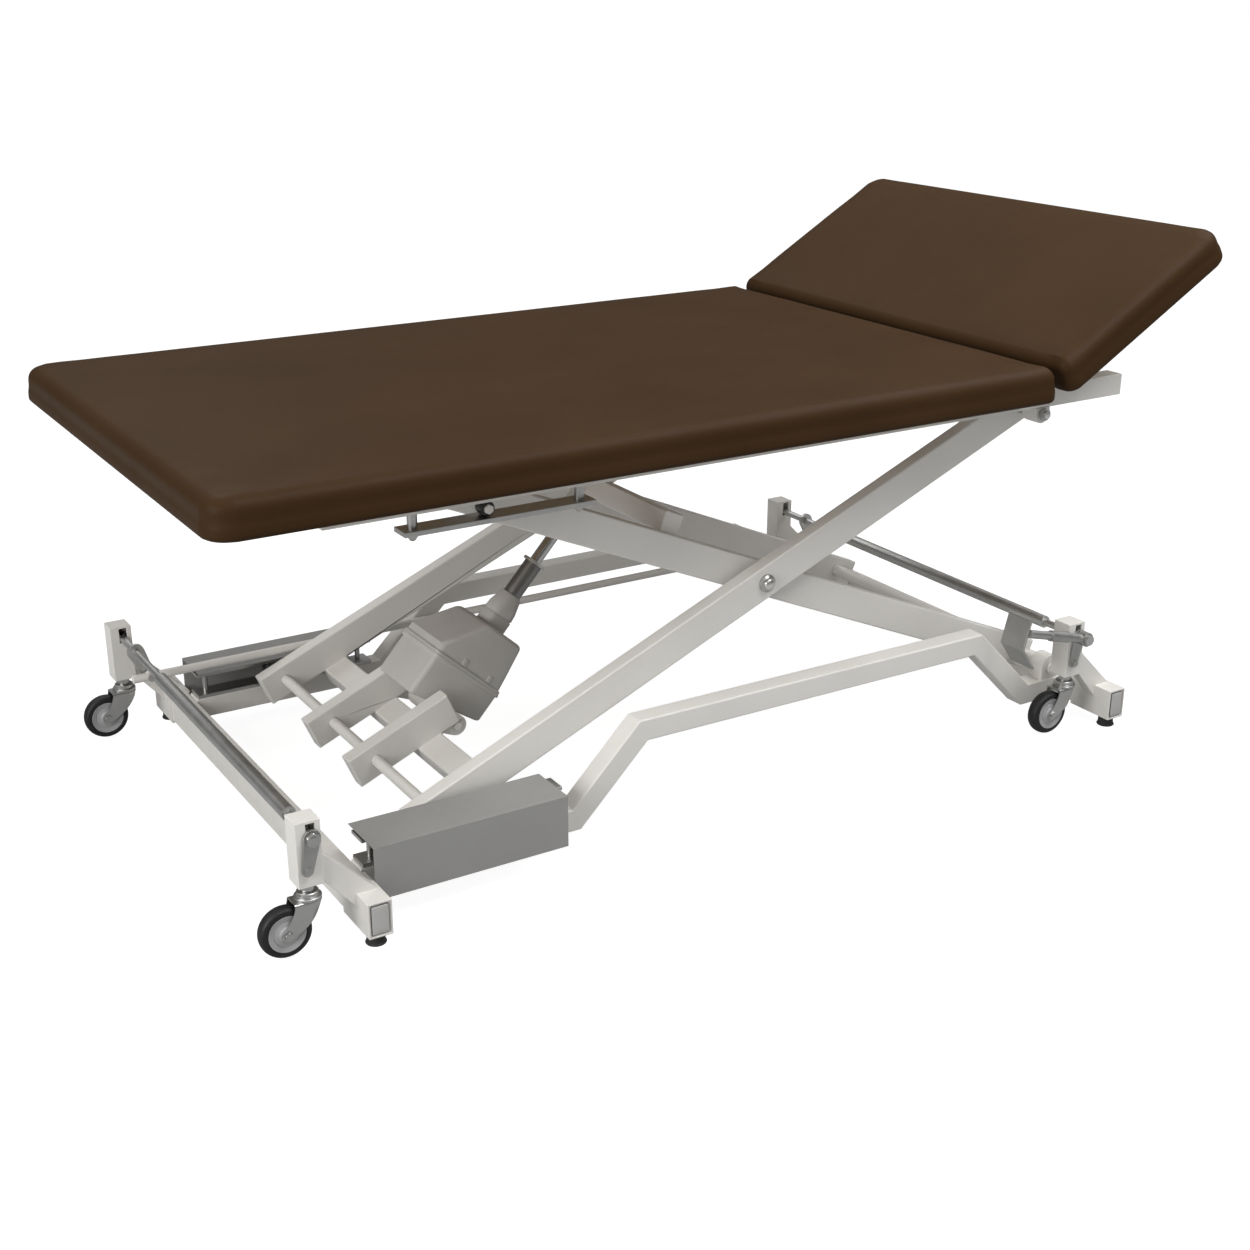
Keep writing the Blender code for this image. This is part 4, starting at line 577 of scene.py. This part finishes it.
FOOT_ROUND = 0.007
FOOT_SLANT = 0.025
SLANT_TOP = 0.101
SLANT_DEPTH = 0.1607
CASE_UNDER = -0.0588
CASE_OVER = 0.1020
CASE_CORNER = 0.009
lip_at = np.array((0.0768, 0.0769, 0.0777, 0.0844, CASE_SPLIT))
lip_in = np.array((0.0, -0.0024, -0.0030, -0.0030, -0.0025))
at = np.concatenate((FOOT_ROUND * (1.0 - np.cos(round_turn)), lip_at))
inset = np.concatenate((FOOT_ROUND * (1.0 - np.sin(round_turn)), lip_in))
case_corner = CASE_CORNER - CORNER_SHARE * inset
lower = case_shell(at, CASE_UNDER + inset, CASE_OVER - inset, CASE_HALF - inset, case_corner)
slant = FOOT_SLANT * (SLANT_TOP - lower[..., 1]) / SLANT_DEPTH
lower[..., 0] += (1.0 - lower[..., 0] / CASE_SPLIT) * slant
boss_outline = np.array([
    (0.0086, -0.0675), (0.0170, -0.0675), (0.0180, -0.0665),
    (0.0180, 0.0665), (0.0170, 0.0675), (0.0086, 0.0675)])
boss = turned_ring(boss_outline, pivot["actuator_swing"], 32)
housing = gathered([skin(on_actuator(lower)), boss])
motor_case = new_piece("motor_case", housing, CASE, "actuator")
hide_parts("actuator_housing")

LID_FOOT = 0.0853
LID_OVER = 0.103
LID_SLOPE_FROM = 0.1053
LID_SLOPE = 0.798
LID_UNDER = -0.0577
LID_UNDER_RISE = 0.0127
LID_LENGTH = 0.0987
LID_NARROWING = 0.003
NARROW_FROM = 0.112
NARROW_LENGTH = 0.06
LID_CORNER = 0.0095
LID_ROUND = 0.008
LID_ROUND_FROM = 0.173
end_at = LID_ROUND_FROM + LID_ROUND * np.sin(round_turn)
end_in = LID_ROUND * (1.0 - np.cos(round_turn))
at = np.concatenate(((LID_FOOT, 0.0859, 0.0905, 0.0913, 0.0914, LID_SLOPE_FROM, 0.1250, 0.1500), end_at))
inset = np.concatenate(((-0.0025, -0.0030, -0.0030, -0.0024, 0.0, 0.0, 0.0, 0.0), end_in))
lid_low = LID_UNDER + LID_UNDER_RISE * (at - LID_FOOT) / LID_LENGTH + inset
lid_high = np.minimum(LID_OVER, LID_OVER - LID_SLOPE * (at - LID_SLOPE_FROM)) - inset
lid_half = CASE_HALF - LID_NARROWING * np.clip((at - NARROW_FROM) / NARROW_LENGTH, 0.0, 1.0) - inset
lid = case_shell(at, lid_low, lid_high, lid_half, LID_CORNER - CORNER_SHARE * inset)
neck_rows = np.array([
    (0.1810, 0.0260, 0.0225, 0.0120), (0.2030, 0.0260, 0.0225, 0.0120), (0.2042, 0.0255, 0.0220, 0.0120),
    (0.2044, 0.0243, 0.0208, 0.0120), (0.2062, 0.0243, 0.0208, 0.0120), (0.2064, 0.0255, 0.0220, 0.0120),
    (0.2076, 0.0262, 0.0227, 0.0140), (0.2220, 0.0258, 0.0225, 0.0160), (0.2486, 0.0205, 0.0200, 0.0188),
    (0.2500, 0.0195, 0.0190, 0.0182), (0.2500, ROD_BORE, ROD_BORE, ROD_BORE),
    (0.1180, ROD_BORE, ROD_BORE, ROD_BORE)])
neck_at, neck_half, neck_side, neck_corner = neck_rows.T
neck = case_shell(neck_at, -neck_half, neck_half, neck_side, neck_corner)
lid_and_neck = skin(on_actuator(np.concatenate((lid, neck))))
motor_lid = new_piece("motor_lid", lid_and_neck, CASE, "actuator")
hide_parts("actuator_cover")

TAB_AT = 0.0995
TAB_SIZE = (0.0075, 0.0055, 0.002)
TAB_FACE = 0.06805
tabs = []
for side in (-1, 1):
    for above in (-0.022, 0.042):
        tab_place = on_actuator(np.array((TAB_AT, above, side * TAB_FACE)))
        tabs.append(raised_plate(tab_place, side, *TAB_SIZE, ACTUATOR_LEAN))
new_piece("case_snap_tabs", gathered(tabs), CASE, "actuator")


def along_tube(profile):
    """A closed outline of (radius, along) turned about the actuator's own line."""
    points, faces = turned_ring(profile, np.zeros(3), 40)
    return on_actuator(points[:, [1, 0, 2]]), faces


DARK_TUBE = plated("dark_tube", (0.27, 0.265, 0.255), (0.32, 0.315, 0.305), 0.42)
BRIGHT = plated("bright_steel", (0.62, 0.62, 0.62), (0.70, 0.70, 0.70), 0.22)
tube_outline = np.array([(ROD_BORE, 0.2503), (0.0172, 0.2503), (0.0172, 0.3195), (ROD_BORE, 0.3195)])
flange_outline = np.array([
    (ROD_BORE, 0.3196), (0.0218, 0.3196), (0.0225, 0.3203),
    (0.0225, 0.3243), (0.0218, 0.3250), (ROD_BORE, 0.3250)])
guide_tube = new_piece("guide_tube", along_tube(tube_outline), DARK_TUBE, "actuator")
new_piece("guide_tube_flange", along_tube(flange_outline), SATIN, "actuator")
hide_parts("actuator_tube")
dress("actuator_rod", BRIGHT, 0.0008)


# Top frame: a ladder of square steel tube, welded and painted like the base.
# It carries both decks on its rails and the upper roller guides below them.
dress("top_frame", PAINT, 0.0030)


# Decks, hinge and head stay: plywood boards under the padding, a pressed hinge between them and a
# telescopic stay that holds the head section at its angle.
def plywood(name):
    """Birch plywood: long fibres along X and thin layers through its thickness."""
    material, shader, place = new_finish(name)
    nodes, links = material.node_tree.nodes, material.node_tree.links
    stretch = nodes.new("ShaderNodeMapping")
    stretch.inputs["Scale"].default_value = (3.0, 60.0, 400.0)
    links.new(place, stretch.inputs["Vector"])
    fibre = effect(material, "mottle", stretch.outputs["Vector"], Scale=1.0, Low=0.0, High=1.0)
    wood = between(material, fibre, (0.36, 0.235, 0.125), (0.55, 0.40, 0.245))
    links.new(wood, shader.inputs["Base Color"])
    gloss = effect(material, "mottle", place, Scale=40.0, Low=0.58, High=0.74)
    links.new(gloss, shader.inputs["Roughness"])
    relief(material, shader, fibre, 0.0002, 0.3)
    return material


PLYWOOD = plywood("birch_plywood")
dress("main_deck", PLYWOOD, 0.0008)
dress("head_deck", PLYWOOD, 0.0008)
DARK_STEEL = plated("burnished_steel", (0.035, 0.034, 0.033), (0.050, 0.049, 0.047), 0.45)
dress("hinge_leaf_main", DARK_STEEL, 0.0004)
dress("hinge_leaf_head", DARK_STEEL, 0.0004)
dress("stay_tube", ZINC, 0.0010)
dress("stay_bar", BRIGHT, 0.0010)


# Pads: foam on each deck under one sheet of dark brown vinyl, drawn over the edges and stapled below.
# The main pad is fixed; the head pad tilts with its deck.
def edge_lines(low, high, near_low, near_high, step):
    """Grid lines from low to high: the given distances in from each end, and even steps between."""
    inner_low, inner_high = low + near_low[-1], high - near_high[-1]
    even = np.linspace(inner_low, inner_high, int(round((inner_high - inner_low) / step)) + 1)
    return np.concatenate((low + near_low[:-1], even, high - near_high[:-1][::-1]))


def ramp(values, start, end):
    """Smooth step: 0 up to the start, 1 past the end."""
    share = np.clip((values - start) / (end - start), 0.0, 1.0)
    return share * share * (3.0 - 2.0 * share)


def padded_board(start, end, half_width, deck_low, top, hinge_side):
    """Pad over a grid of X and Y lines: the square corners are bent to quarter discs, the top falls in a
    quarter circle of the distance to the outline and swells to a crown, the side is drawn in between
    the corners, and the underside hangs past the deck except at the hinge, with a recess for the deck."""
    top_round, low_round = 0.024, 0.010
    outer_corner, hinge_corner = 0.046, 0.024
    crown, drawn = 0.004, 0.0015
    margin, hang, recess = 0.040, 0.0075, 0.0126
    grid = 0.022
    fall = top_round * (1.0 - np.cos(np.linspace(0.0, math.pi / 2, 8)))
    outer = np.append(fall, (margin - 0.0004, margin))
    inner = np.append(fall[fall < margin / 2 - 0.001], (margin / 2 - 0.0004, margin / 2))
    low_end, high_end = (outer, inner) if hinge_side > 0 else (inner, outer)
    x_lines = edge_lines(start, end, low_end, high_end, grid)
    y_lines = edge_lines(-half_width, half_width, outer, outer, grid)
    middle, half_x = (start + end) / 2, (end - start) / 2
    u, v = np.meshgrid(x_lines - middle, y_lines, indexing="ij")
    corner = np.where(u * hinge_side > 0, hinge_corner, outer_corner)
    s = np.clip((np.abs(u) - half_x + corner) / corner, 0.0, 1.0)
    t = np.clip((np.abs(v) - half_width + corner) / corner, 0.0, 1.0)
    bent_u = np.sign(u) * (np.abs(u) - corner * s * (1.0 - np.sqrt(1.0 - t * t / 2)))
    bent_v = np.sign(v) * (np.abs(v) - corner * t * (1.0 - np.sqrt(1.0 - s * s / 2)))
    out_u, out_v = np.abs(bent_u) - half_x + corner, np.abs(bent_v) - half_width + corner
    past = np.hypot(np.maximum(out_u, 0.0), np.maximum(out_v, 0.0))
    inset = np.clip(corner - past - np.minimum(np.maximum(out_u, out_v), 0.0), 0.0, None)

    def quarter(radius):
        return np.sqrt(np.clip(radius**2 - np.clip(radius - inset, 0.0, None) ** 2, 0.0, None)) - radius

    arch = (1.0 - (bent_u / half_x) ** 2) * (1.0 - (bent_v / half_width) ** 2)
    ripple = np.sin(5.1 * bent_u + 2.0) * np.sin(6.3 * bent_v) + 0.5 * np.sin(11.0 * bent_u - 7.0 * bent_v)
    top_z = top + quarter(top_round) + crown * arch + 0.0005 * ripple * ramp(inset, 0.0, 0.06)
    at_hinge = ramp(bent_u * hinge_side, half_x - 0.070, half_x - 0.030)
    hang = hang * (1.0 - at_hinge * (1.0 - ramp(np.abs(bent_v), 0.425, 0.462)))
    low_z = deck_low - hang - quarter(low_round)
    deck_ends = np.array([margin, margin / 2])[:: 1 if hinge_side > 0 else -1]
    in_deck = (u > deck_ends[0] - half_x - 1e-6) & (u < half_x - deck_ends[1] + 1e-6)
    in_deck = in_deck & (np.abs(v) < half_width - margin + 1e-6)
    low_z = np.where(in_deck, deck_low + recess, low_z)
    rows, columns = u.shape
    index = np.arange(rows * columns).reshape(rows, columns)
    rim = np.concatenate((index[:-1, 0], index[-1, :-1], index[:0:-1, -1], index[0, :0:-1]))
    rim_u, rim_v, rim_low = bent_u.ravel()[rim], bent_v.ravel()[rim], low_z.ravel()[rim]
    level = np.linspace(0.0, 1.0, 7)[1:-1, None]
    along = np.where(np.abs(rim_u) / half_x > np.abs(rim_v) / half_width, rim_v / half_width, rim_u / half_x)
    pull = drawn * np.sin(math.pi * level) * (1.0 - along**4)
    wall_z = (top - top_round) * (1.0 - level) + rim_low * level
    upper = np.stack((bent_u + middle, bent_v, top_z), axis=-1).reshape(-1, 3)
    lower = np.stack((bent_u + middle, bent_v, low_z), axis=-1).reshape(-1, 3)
    wall_x = rim_u * (1.0 - pull / half_x) + middle
    wall_y = rim_v * (1.0 - pull / half_width)
    wall = np.stack((wall_x, wall_y, wall_z), axis=-1)
    count = rows * columns
    quads = np.stack((index[:-1, :-1], index[1:, :-1], index[1:, 1:], index[:-1, 1:]), axis=-1)
    quads = quads.reshape(-1, 4)
    loops = 2 * count + np.arange(wall.shape[0] * wall.shape[1]).reshape(wall.shape[:2])
    loops = np.concatenate((rim[None], loops, rim[None] + count))
    after = np.roll(loops, -1, axis=1)
    sides = np.stack((loops[:-1], loops[1:], after[1:], after[:-1]), axis=-1).reshape(-1, 4)
    faces = np.concatenate((quads, quads[:, ::-1] + count, sides))
    return np.concatenate((upper, lower, wall.reshape(-1, 3))), faces.tolist()


def inflate(pad, deck_low, limit):
    """Let the cover of a pad swell as cloth under slight pressure: its underside is held, no point moves
    further than the limit, and the move fades out towards the lower edge."""
    held = pad.vertex_groups.new(name="stapled")
    rest = np.empty(len(pad.data.vertices) * 3)
    pad.data.vertices.foreach_get("co", rest)
    rest = rest.reshape(-1, 3)
    held.add(np.flatnonzero(rest[:, 2] < deck_low + 0.013).tolist(), 1.0, "REPLACE")
    cloth = pad.modifiers.new("cover", "CLOTH")
    cloth.settings.vertex_group_mass = held.name
    cloth.settings.use_pressure = True
    cloth.settings.uniform_pressure_force = 4.0
    cloth.settings.effector_weights.gravity = 0.0
    cloth.settings.quality = 6
    cloth.point_cache.frame_start = 1
    cloth.point_cache.frame_end = 20
    for step in range(1, 21):
        bpy.context.scene.frame_set(step)
    swollen = pad.evaluated_get(bpy.context.evaluated_depsgraph_get()).to_mesh()
    after = np.empty(len(swollen.vertices) * 3)
    swollen.vertices.foreach_get("co", after)
    move = after.reshape(-1, 3) - rest
    size = np.linalg.norm(move, axis=1, keepdims=True)
    share = np.minimum(1.0, limit / np.maximum(size, 1e-9))
    move = move * share * ramp(rest[:, 2:], deck_low, deck_low + 0.035)
    pad.modifiers.remove(cloth)
    pad.data.vertices.foreach_set("co", (rest + move).ravel())
    bpy.context.scene.frame_set(1)


def vinyl(name, dark, light):
    """Embossed vinyl: a leather pebble of rounded cells, slight clouds of colour and a soft gloss."""
    material, shader, place = new_finish(name, Specular_IOR_Level=0.06)
    nodes, links = material.node_tree.nodes, material.node_tree.links
    cloud = effect(material, "mottle", place, Scale=4.0, Low=0.0, High=1.0)
    links.new(between(material, cloud, dark, light), shader.inputs["Base Color"])
    gloss = effect(material, "mottle", place, Scale=20.0, Low=0.44, High=0.48)
    links.new(gloss, shader.inputs["Roughness"])
    cells = nodes.new("ShaderNodeTexVoronoi")
    cells.feature = "SMOOTH_F1"
    cells.inputs["Scale"].default_value = 640.0
    links.new(place, cells.inputs["Vector"])
    relief(material, shader, cells.outputs["Distance"], 0.00035, 0.45)
    return material


VINYL = vinyl("brown_vinyl", (0.042, 0.0215, 0.0087), (0.050, 0.0260, 0.0106))
HINGE = pivot["head_tilt"]
HEAD_TILT = math.radians(30.0)
DECK_LOW = float(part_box("main_deck")[0][2])
PAD_TOP = DECK_LOW + 0.057
PAD_HALF = 0.500
HALF_GAP = 0.004
SWELL = 0.003
MAIN = padded_board(HINGE[0] - 1.560, HINGE[0] - HALF_GAP, PAD_HALF, DECK_LOW, PAD_TOP, 1)
HEAD = padded_board(HINGE[0] + HALF_GAP, HINGE[0] + 0.440, PAD_HALF, DECK_LOW, PAD_TOP, -1)
for name, shape, body, tilt in (("main", MAIN, "top", 0.0), ("head", HEAD, "head_section", HEAD_TILT)):
    pad = new_piece(name + "_cushion", shape, VINYL, body)
    inflate(pad, DECK_LOW, SWELL)
    points = np.empty(len(pad.data.vertices) * 3)
    pad.data.vertices.foreach_get("co", points)
    away = points.reshape(-1, 3) - HINGE
    turned = np.stack((
        away[:, 0] * math.cos(tilt) - away[:, 2] * math.sin(tilt), away[:, 1],
        away[:, 0] * math.sin(tilt) + away[:, 2] * math.cos(tilt)), axis=-1) + HINGE
    pad.data.vertices.foreach_set("co", turned.ravel())
    pad.data.update()
    finer = pad.modifiers.new("finer", "SUBSURF")
    finer.levels = 1
    finer.render_levels = 1
    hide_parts(name + "_pad")


# Wheel lift: torsion shafts with cranks, joined by a long white rod, work levers that push the casters
# down when the pedal at the head end is trodden.
SATIN_ZINC = plated("satin_zinc", (0.42, 0.42, 0.41), (0.48, 0.48, 0.47), 0.46)
DRAWN_ZINC = plated("drawn_zinc", (0.54, 0.54, 0.53), (0.60, 0.60, 0.59), 0.42)
for name in ("shaft_foot", "shaft_head"):
    dress(name, DRAWN_ZINC, 0.0008)
for name in ("pedal_arm", "pedal_tread"):
    dress(name, SATIN_ZINC, 0.0008)
dress("link_rod", PAINT, 0.0010)
for end in ("foot", "head"):
    for side in ("near", "far"):
        dress("lever_" + end + "_" + side, SATIN_ZINC, 0.0008)
        dress("caster_slide_" + end + "_" + side, ZINC, 0.0008)

LEVER_EYE = 0.014
SHAFT_NUT_FLAT = 0.0106
SHAFT_NUT_HEIGHT = 0.0075
SHAFT_NUT_SUNK = 0.0058
for end, body in (("foot", "foot_shaft"), ("head", "pedal_shaft")):
    shaft_high = extent("shaft_" + end)[1]
    lever_high = extent("lever_" + end + "_far")[1]
    place = np.array((lever_high[0] - LEVER_EYE, shaft_high[1] - SHAFT_NUT_SUNK, lever_high[2] - LEVER_EYE))
    nuts = [cap_nut(place, (0, 1, 0), SHAFT_NUT_FLAT, SHAFT_NUT_HEIGHT, False)]
    if end == "foot":
        nuts.append(cap_nut(place * (1, -1, 1), (0, -1, 0), SHAFT_NUT_FLAT, SHAFT_NUT_HEIGHT, False))
    new_piece("shaft_nuts_" + end, gathered(nuts), ZINC, body)


# Casters: pressed and plated steel forks that swivel below the slides on a turned head with a washer.
# Each holds a moulded hub with a black rubber tyre on a bolt.
def fork_side(half_width, roof, inside):
    """One side of a pressed fork as rows from the middle of its roof, over a round shoulder and down the
    cheek to its rim: straight lines from a U that is round behind to a rim that goes round the eye and up
    the back. Inside moves the sheet in by its thickness. X is from the swivel, Z from the wheel axle."""
    v = np.linspace(0.0, 1.0, 45)
    straight, eye_end = 0.6, 0.35
    eye_x, eye_radius = -0.040, 0.0105
    curl = np.clip((v - straight) / (1.0 - straight), 0.0, 1.0) * math.pi / 2
    behind = (0.0172 - inside) * np.sin(curl)
    u_x = -0.027 + 0.031 * np.clip(v / straight, 0.0, 1.0) + behind
    u_y = half_width * np.cos(curl)
    eye = np.radians(172.0 + 128.0 * np.clip(v / eye_end, 0.0, 1.0))
    w = np.clip((v - eye_end) / (1.0 - eye_end), 0.0, 1.0)
    back_x = -0.0348 * (1 - w) ** 2 - 0.002 * w * (1 - w) + (0.0195 - inside) * w**2
    back_z = -0.0091 * (1 - w) ** 2 + 0.020 * w * (1 - w) + 0.031 * w**2
    rim_x = np.where(v < eye_end, eye_x + eye_radius * np.cos(eye), back_x)
    rim_z = np.where(v < eye_end, eye_radius * np.sin(eye), back_z)
    shoulder = 0.0045 - inside
    turn = np.linspace(math.pi / 2, 0.0, 6)[:, None]
    share = 1.0 - shoulder * (1.0 - np.cos(turn)) / half_width
    share = np.vstack((np.linspace(0.0, share[0, 0], 6)[:-1, None], share))
    roof_z = np.vstack((np.full((5, 1), roof), roof - shoulder + shoulder * np.sin(turn)))
    roof_rows = np.stack((u_x - behind * (1.0 - share), u_y * share, roof_z + 0.0 * v), axis=-1)
    down = np.linspace(0.0, 1.0, 13)[1:, None]
    bend = down ** (1.0 + 0.6 * np.clip(1.0 - v / eye_end, 0.0, 1.0))
    cheek_z = (roof - shoulder) * (1.0 - down) + rim_z * down
    cheek_rows = np.stack((u_x + (rim_x - u_x) * bend, u_y + 0.0 * down, cheek_z), axis=-1)
    return np.concatenate((roof_rows, cheek_rows))


def pressed_fork(swivel_x, axle):
    """Fork of sheet steel: outer and inner rows joined at the rim and at both front edges, and a turned head
    with a washer and a collar on its roof."""
    sheet, half_width, roof = 0.0022, 0.0175, 0.0475
    outer = fork_side(half_width, roof, 0.0)
    inner = fork_side(half_width - sheet, roof - sheet, sheet)
    half = np.concatenate((outer, inner[::-1]))
    both = np.concatenate((half, half[:, -2::-1] * (1.0, -1.0, 1.0)), axis=1)
    rows, columns = both.shape[:2]
    index = np.arange(rows * columns).reshape(rows, columns)
    quads = np.stack((index[:-1, :-1], index[1:, :-1], index[1:, 1:], index[:-1, 1:]), axis=-1)
    quads = quads.reshape(-1, 4)
    out, back = index[: rows // 2][:, [0, -1]], index[::-1][: rows // 2][:, [0, -1]]
    fronts = np.stack((out[:-1], out[1:], back[1:], back[:-1]), axis=-1).reshape(-1, 4)
    place = np.array((swivel_x, axle[1], axle[2]))
    yoke = both.reshape(-1, 3) + place, np.concatenate((quads, fronts)).tolist()
    head = np.array([
        (0.0066, 0.0470), (0.0208, 0.0470), (0.0214, 0.0478), (0.0214, 0.0512), (0.0207, 0.0520),
        (0.0186, 0.0523), (0.0186, 0.0532), (0.0172, 0.0537), (0.0170, 0.0584), (0.0160, 0.0594),
        (0.0066, 0.0594)])
    nuts = []
    for side in (-1, 1):
        nuts.append(cap_nut(axle + (0.0, side * 0.0173, 0.0), (0, side, 0), 0.0062, 0.0044, False))
    bolt = np.array([(0.0010, -0.0172), (0.0050, -0.0172), (0.0050, 0.0172), (0.0010, 0.0172)])
    return gathered([yoke, turned_ring(head, place, 48, True), turned_ring(bolt, axle, 24), *nuts])


TYRE = moulded("tyre_rubber", (0.004, 0.004, 0.0042), (0.007, 0.007, 0.0073), 0.55, 500.0, 0.00012)
HUB = moulded("hub_plastic", (0.36, 0.36, 0.365), (0.41, 0.41, 0.415), 0.38, 900.0, 0.00006)
arc = np.linspace(-math.pi / 2, math.pi / 2, 13)
shoulder = np.stack((0.0356 + 0.0064 * np.cos(arc) ** 0.8, 0.0118 * np.sin(arc)), axis=-1)
TYRE_OUTLINE = np.concatenate((shoulder, [(0.0330, 0.0126), (0.0312, 0.0120), (0.0300, 0.0105),
                                          (0.0300, -0.0105), (0.0312, -0.0120), (0.0330, -0.0126)]))
half_hub = np.array([
    (0.0056, 0.0141), (0.0105, 0.0141), (0.0118, 0.0134), (0.0124, 0.0122), (0.0136, 0.0113),
    (0.0200, 0.0109), (0.0206, 0.0100), (0.0216, 0.0100), (0.0222, 0.0109), (0.0268, 0.0112),
    (0.0284, 0.0122), (0.0300, 0.0122)])
HUB_OUTLINE = np.concatenate((half_hub, half_hub[::-1] * (1.0, -1.0)))
WHEEL_STEPS = 64
for end in ("foot", "head"):
    for side in ("near", "far"):
        corner = end + "_" + side
        axle = pivot["wheel_" + corner + "_turn"]
        fork_shape = pressed_fork(pivot["swivel_" + corner][0], axle)
        fork = new_piece("fork_" + corner, fork_shape, ZINC, "fork_" + corner)
        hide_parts("caster_fork_" + corner)
        tyre_shape = turned_ring(TYRE_OUTLINE, axle, WHEEL_STEPS)
        tyre = new_piece("tyre_" + corner, tyre_shape, TYRE, "wheel_" + corner)
        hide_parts("caster_wheel_" + corner)
        hub_shape = turned_ring(HUB_OUTLINE, axle, WHEEL_STEPS)
        new_piece("hub_" + corner, hub_shape, HUB, "wheel_" + corner)


# Studio: a plain white floor that keeps a soft shadow, even light all round and four large soft lamps.
# The camera stands where the photograph was taken.
def strength_by_ray(tree, seen, mirrored, cast):
    """Strength that differs where the eye sees the light, where a gloss mirrors it and where it is cast;
    the mirrored one may be a socket."""
    path = tree.nodes.new("ShaderNodeLightPath")
    levels = []
    for ray, high in (("Is Glossy Ray", mirrored), ("Is Camera Ray", seen)):
        level = tree.nodes.new("ShaderNodeMapRange")
        level.inputs["To Min"].default_value = cast
        if isinstance(high, bpy.types.NodeSocket):
            tree.links.new(high, level.inputs["To Max"])
        else:
            level.inputs["To Max"].default_value = high
        tree.links.new(path.outputs[ray], level.inputs["Value"])
        levels.append(level)
    tree.links.new(levels[0].outputs["Result"], levels[1].inputs["To Min"])
    return levels[1].outputs["Result"]


world = bpy.data.worlds.new("studio")
bpy.context.scene.world = world
world.use_nodes = True
sky = world.node_tree.nodes["Background"]
sky.inputs["Color"].default_value = (1.0, 1.0, 1.0, 1.0)
height = world.node_tree.nodes.new("ShaderNodeSeparateXYZ")
around = world.node_tree.nodes.new("ShaderNodeTexCoord")
ceiling = world.node_tree.nodes.new("ShaderNodeMapRange")
ceiling.interpolation_type = "SMOOTHSTEP"
for socket, value in (("From Min", 0.35), ("From Max", 0.80), ("To Min", 0.10), ("To Max", 0.90)):
    ceiling.inputs[socket].default_value = value
world.node_tree.links.new(around.outputs["Generated"], height.inputs["Vector"])
world.node_tree.links.new(height.outputs["Z"], ceiling.inputs["Value"])
by_ray = strength_by_ray(world.node_tree, 1.0, ceiling.outputs["Result"], 0.46)
world.node_tree.links.new(by_ray, sky.inputs["Strength"])

floor_mesh = bpy.data.meshes.new("floor")
floor_mesh.from_pydata([(-9, -9, 0), (9, -9, 0), (9, 9, 0), (-9, 9, 0)], [], [(0, 1, 2, 3)])
floor = bpy.data.objects.new("floor", floor_mesh)
bpy.context.scene.collection.objects.link(floor)
floor_finish = bpy.data.materials.new("floor_white")
floor_finish.use_nodes = True
floor_tree = floor_finish.node_tree
floor_shader = floor_tree.nodes["Principled BSDF"]
floor_shader.inputs["Base Color"].default_value = (0.28, 0.28, 0.28, 1.0)
floor_shader.inputs["Roughness"].default_value = 1.0
floor_shader.inputs["Specular IOR Level"].default_value = 0.0
floor_shader.inputs["Emission Color"].default_value = (1.0, 1.0, 1.0, 1.0)
floor_tree.links.new(strength_by_ray(floor_tree, 0.91, 0.16, 0.05), floor_shader.inputs["Emission Strength"])
floor_mesh.materials.append(floor_finish)


def soft_lamp(name, place, aim, watts):
    """Square lamp 2.2 m wide at a place, facing the aim."""
    lamp = bpy.data.lights.new(name, "AREA")
    lamp.shape = "SQUARE"
    lamp.size = 2.2
    lamp.energy = watts
    item = bpy.data.objects.new(name, lamp)
    item.location = place
    direction = Vector(aim) - Vector(place)
    item.rotation_euler = direction.to_track_quat("-Z", "Y").to_euler()
    bpy.context.scene.collection.objects.link(item)


soft_lamp("key", (-4.0, -1.2, 1.7), (0.0, 0.0, 0.5), 90.0)
soft_lamp("front", (1.0, -2.2, 4.2), (0.1, -0.2, 0.4), 105.0)
soft_lamp("over", (2.2, -0.4, 3.2), (0.4, 0.0, 0.4), 40.0)
soft_lamp("rear", (-0.3, 3.2, 4.0), (0.0, 0.0, 0.4), 26.0)

eye = bpy.data.cameras.new("eye")
eye.sensor_width = 36.0
eye.lens = 50.204
camera = bpy.data.objects.new("eye", eye)
camera.location = (-1.662466, -2.674, 1.408)
camera.rotation_euler = (math.radians(69.05), 0.0, math.radians(-31.56))
bpy.context.scene.collection.objects.link(camera)
bpy.context.scene.camera = camera
bpy.context.scene.view_settings.view_transform = "Standard"

bpy.context.view_layer.update()
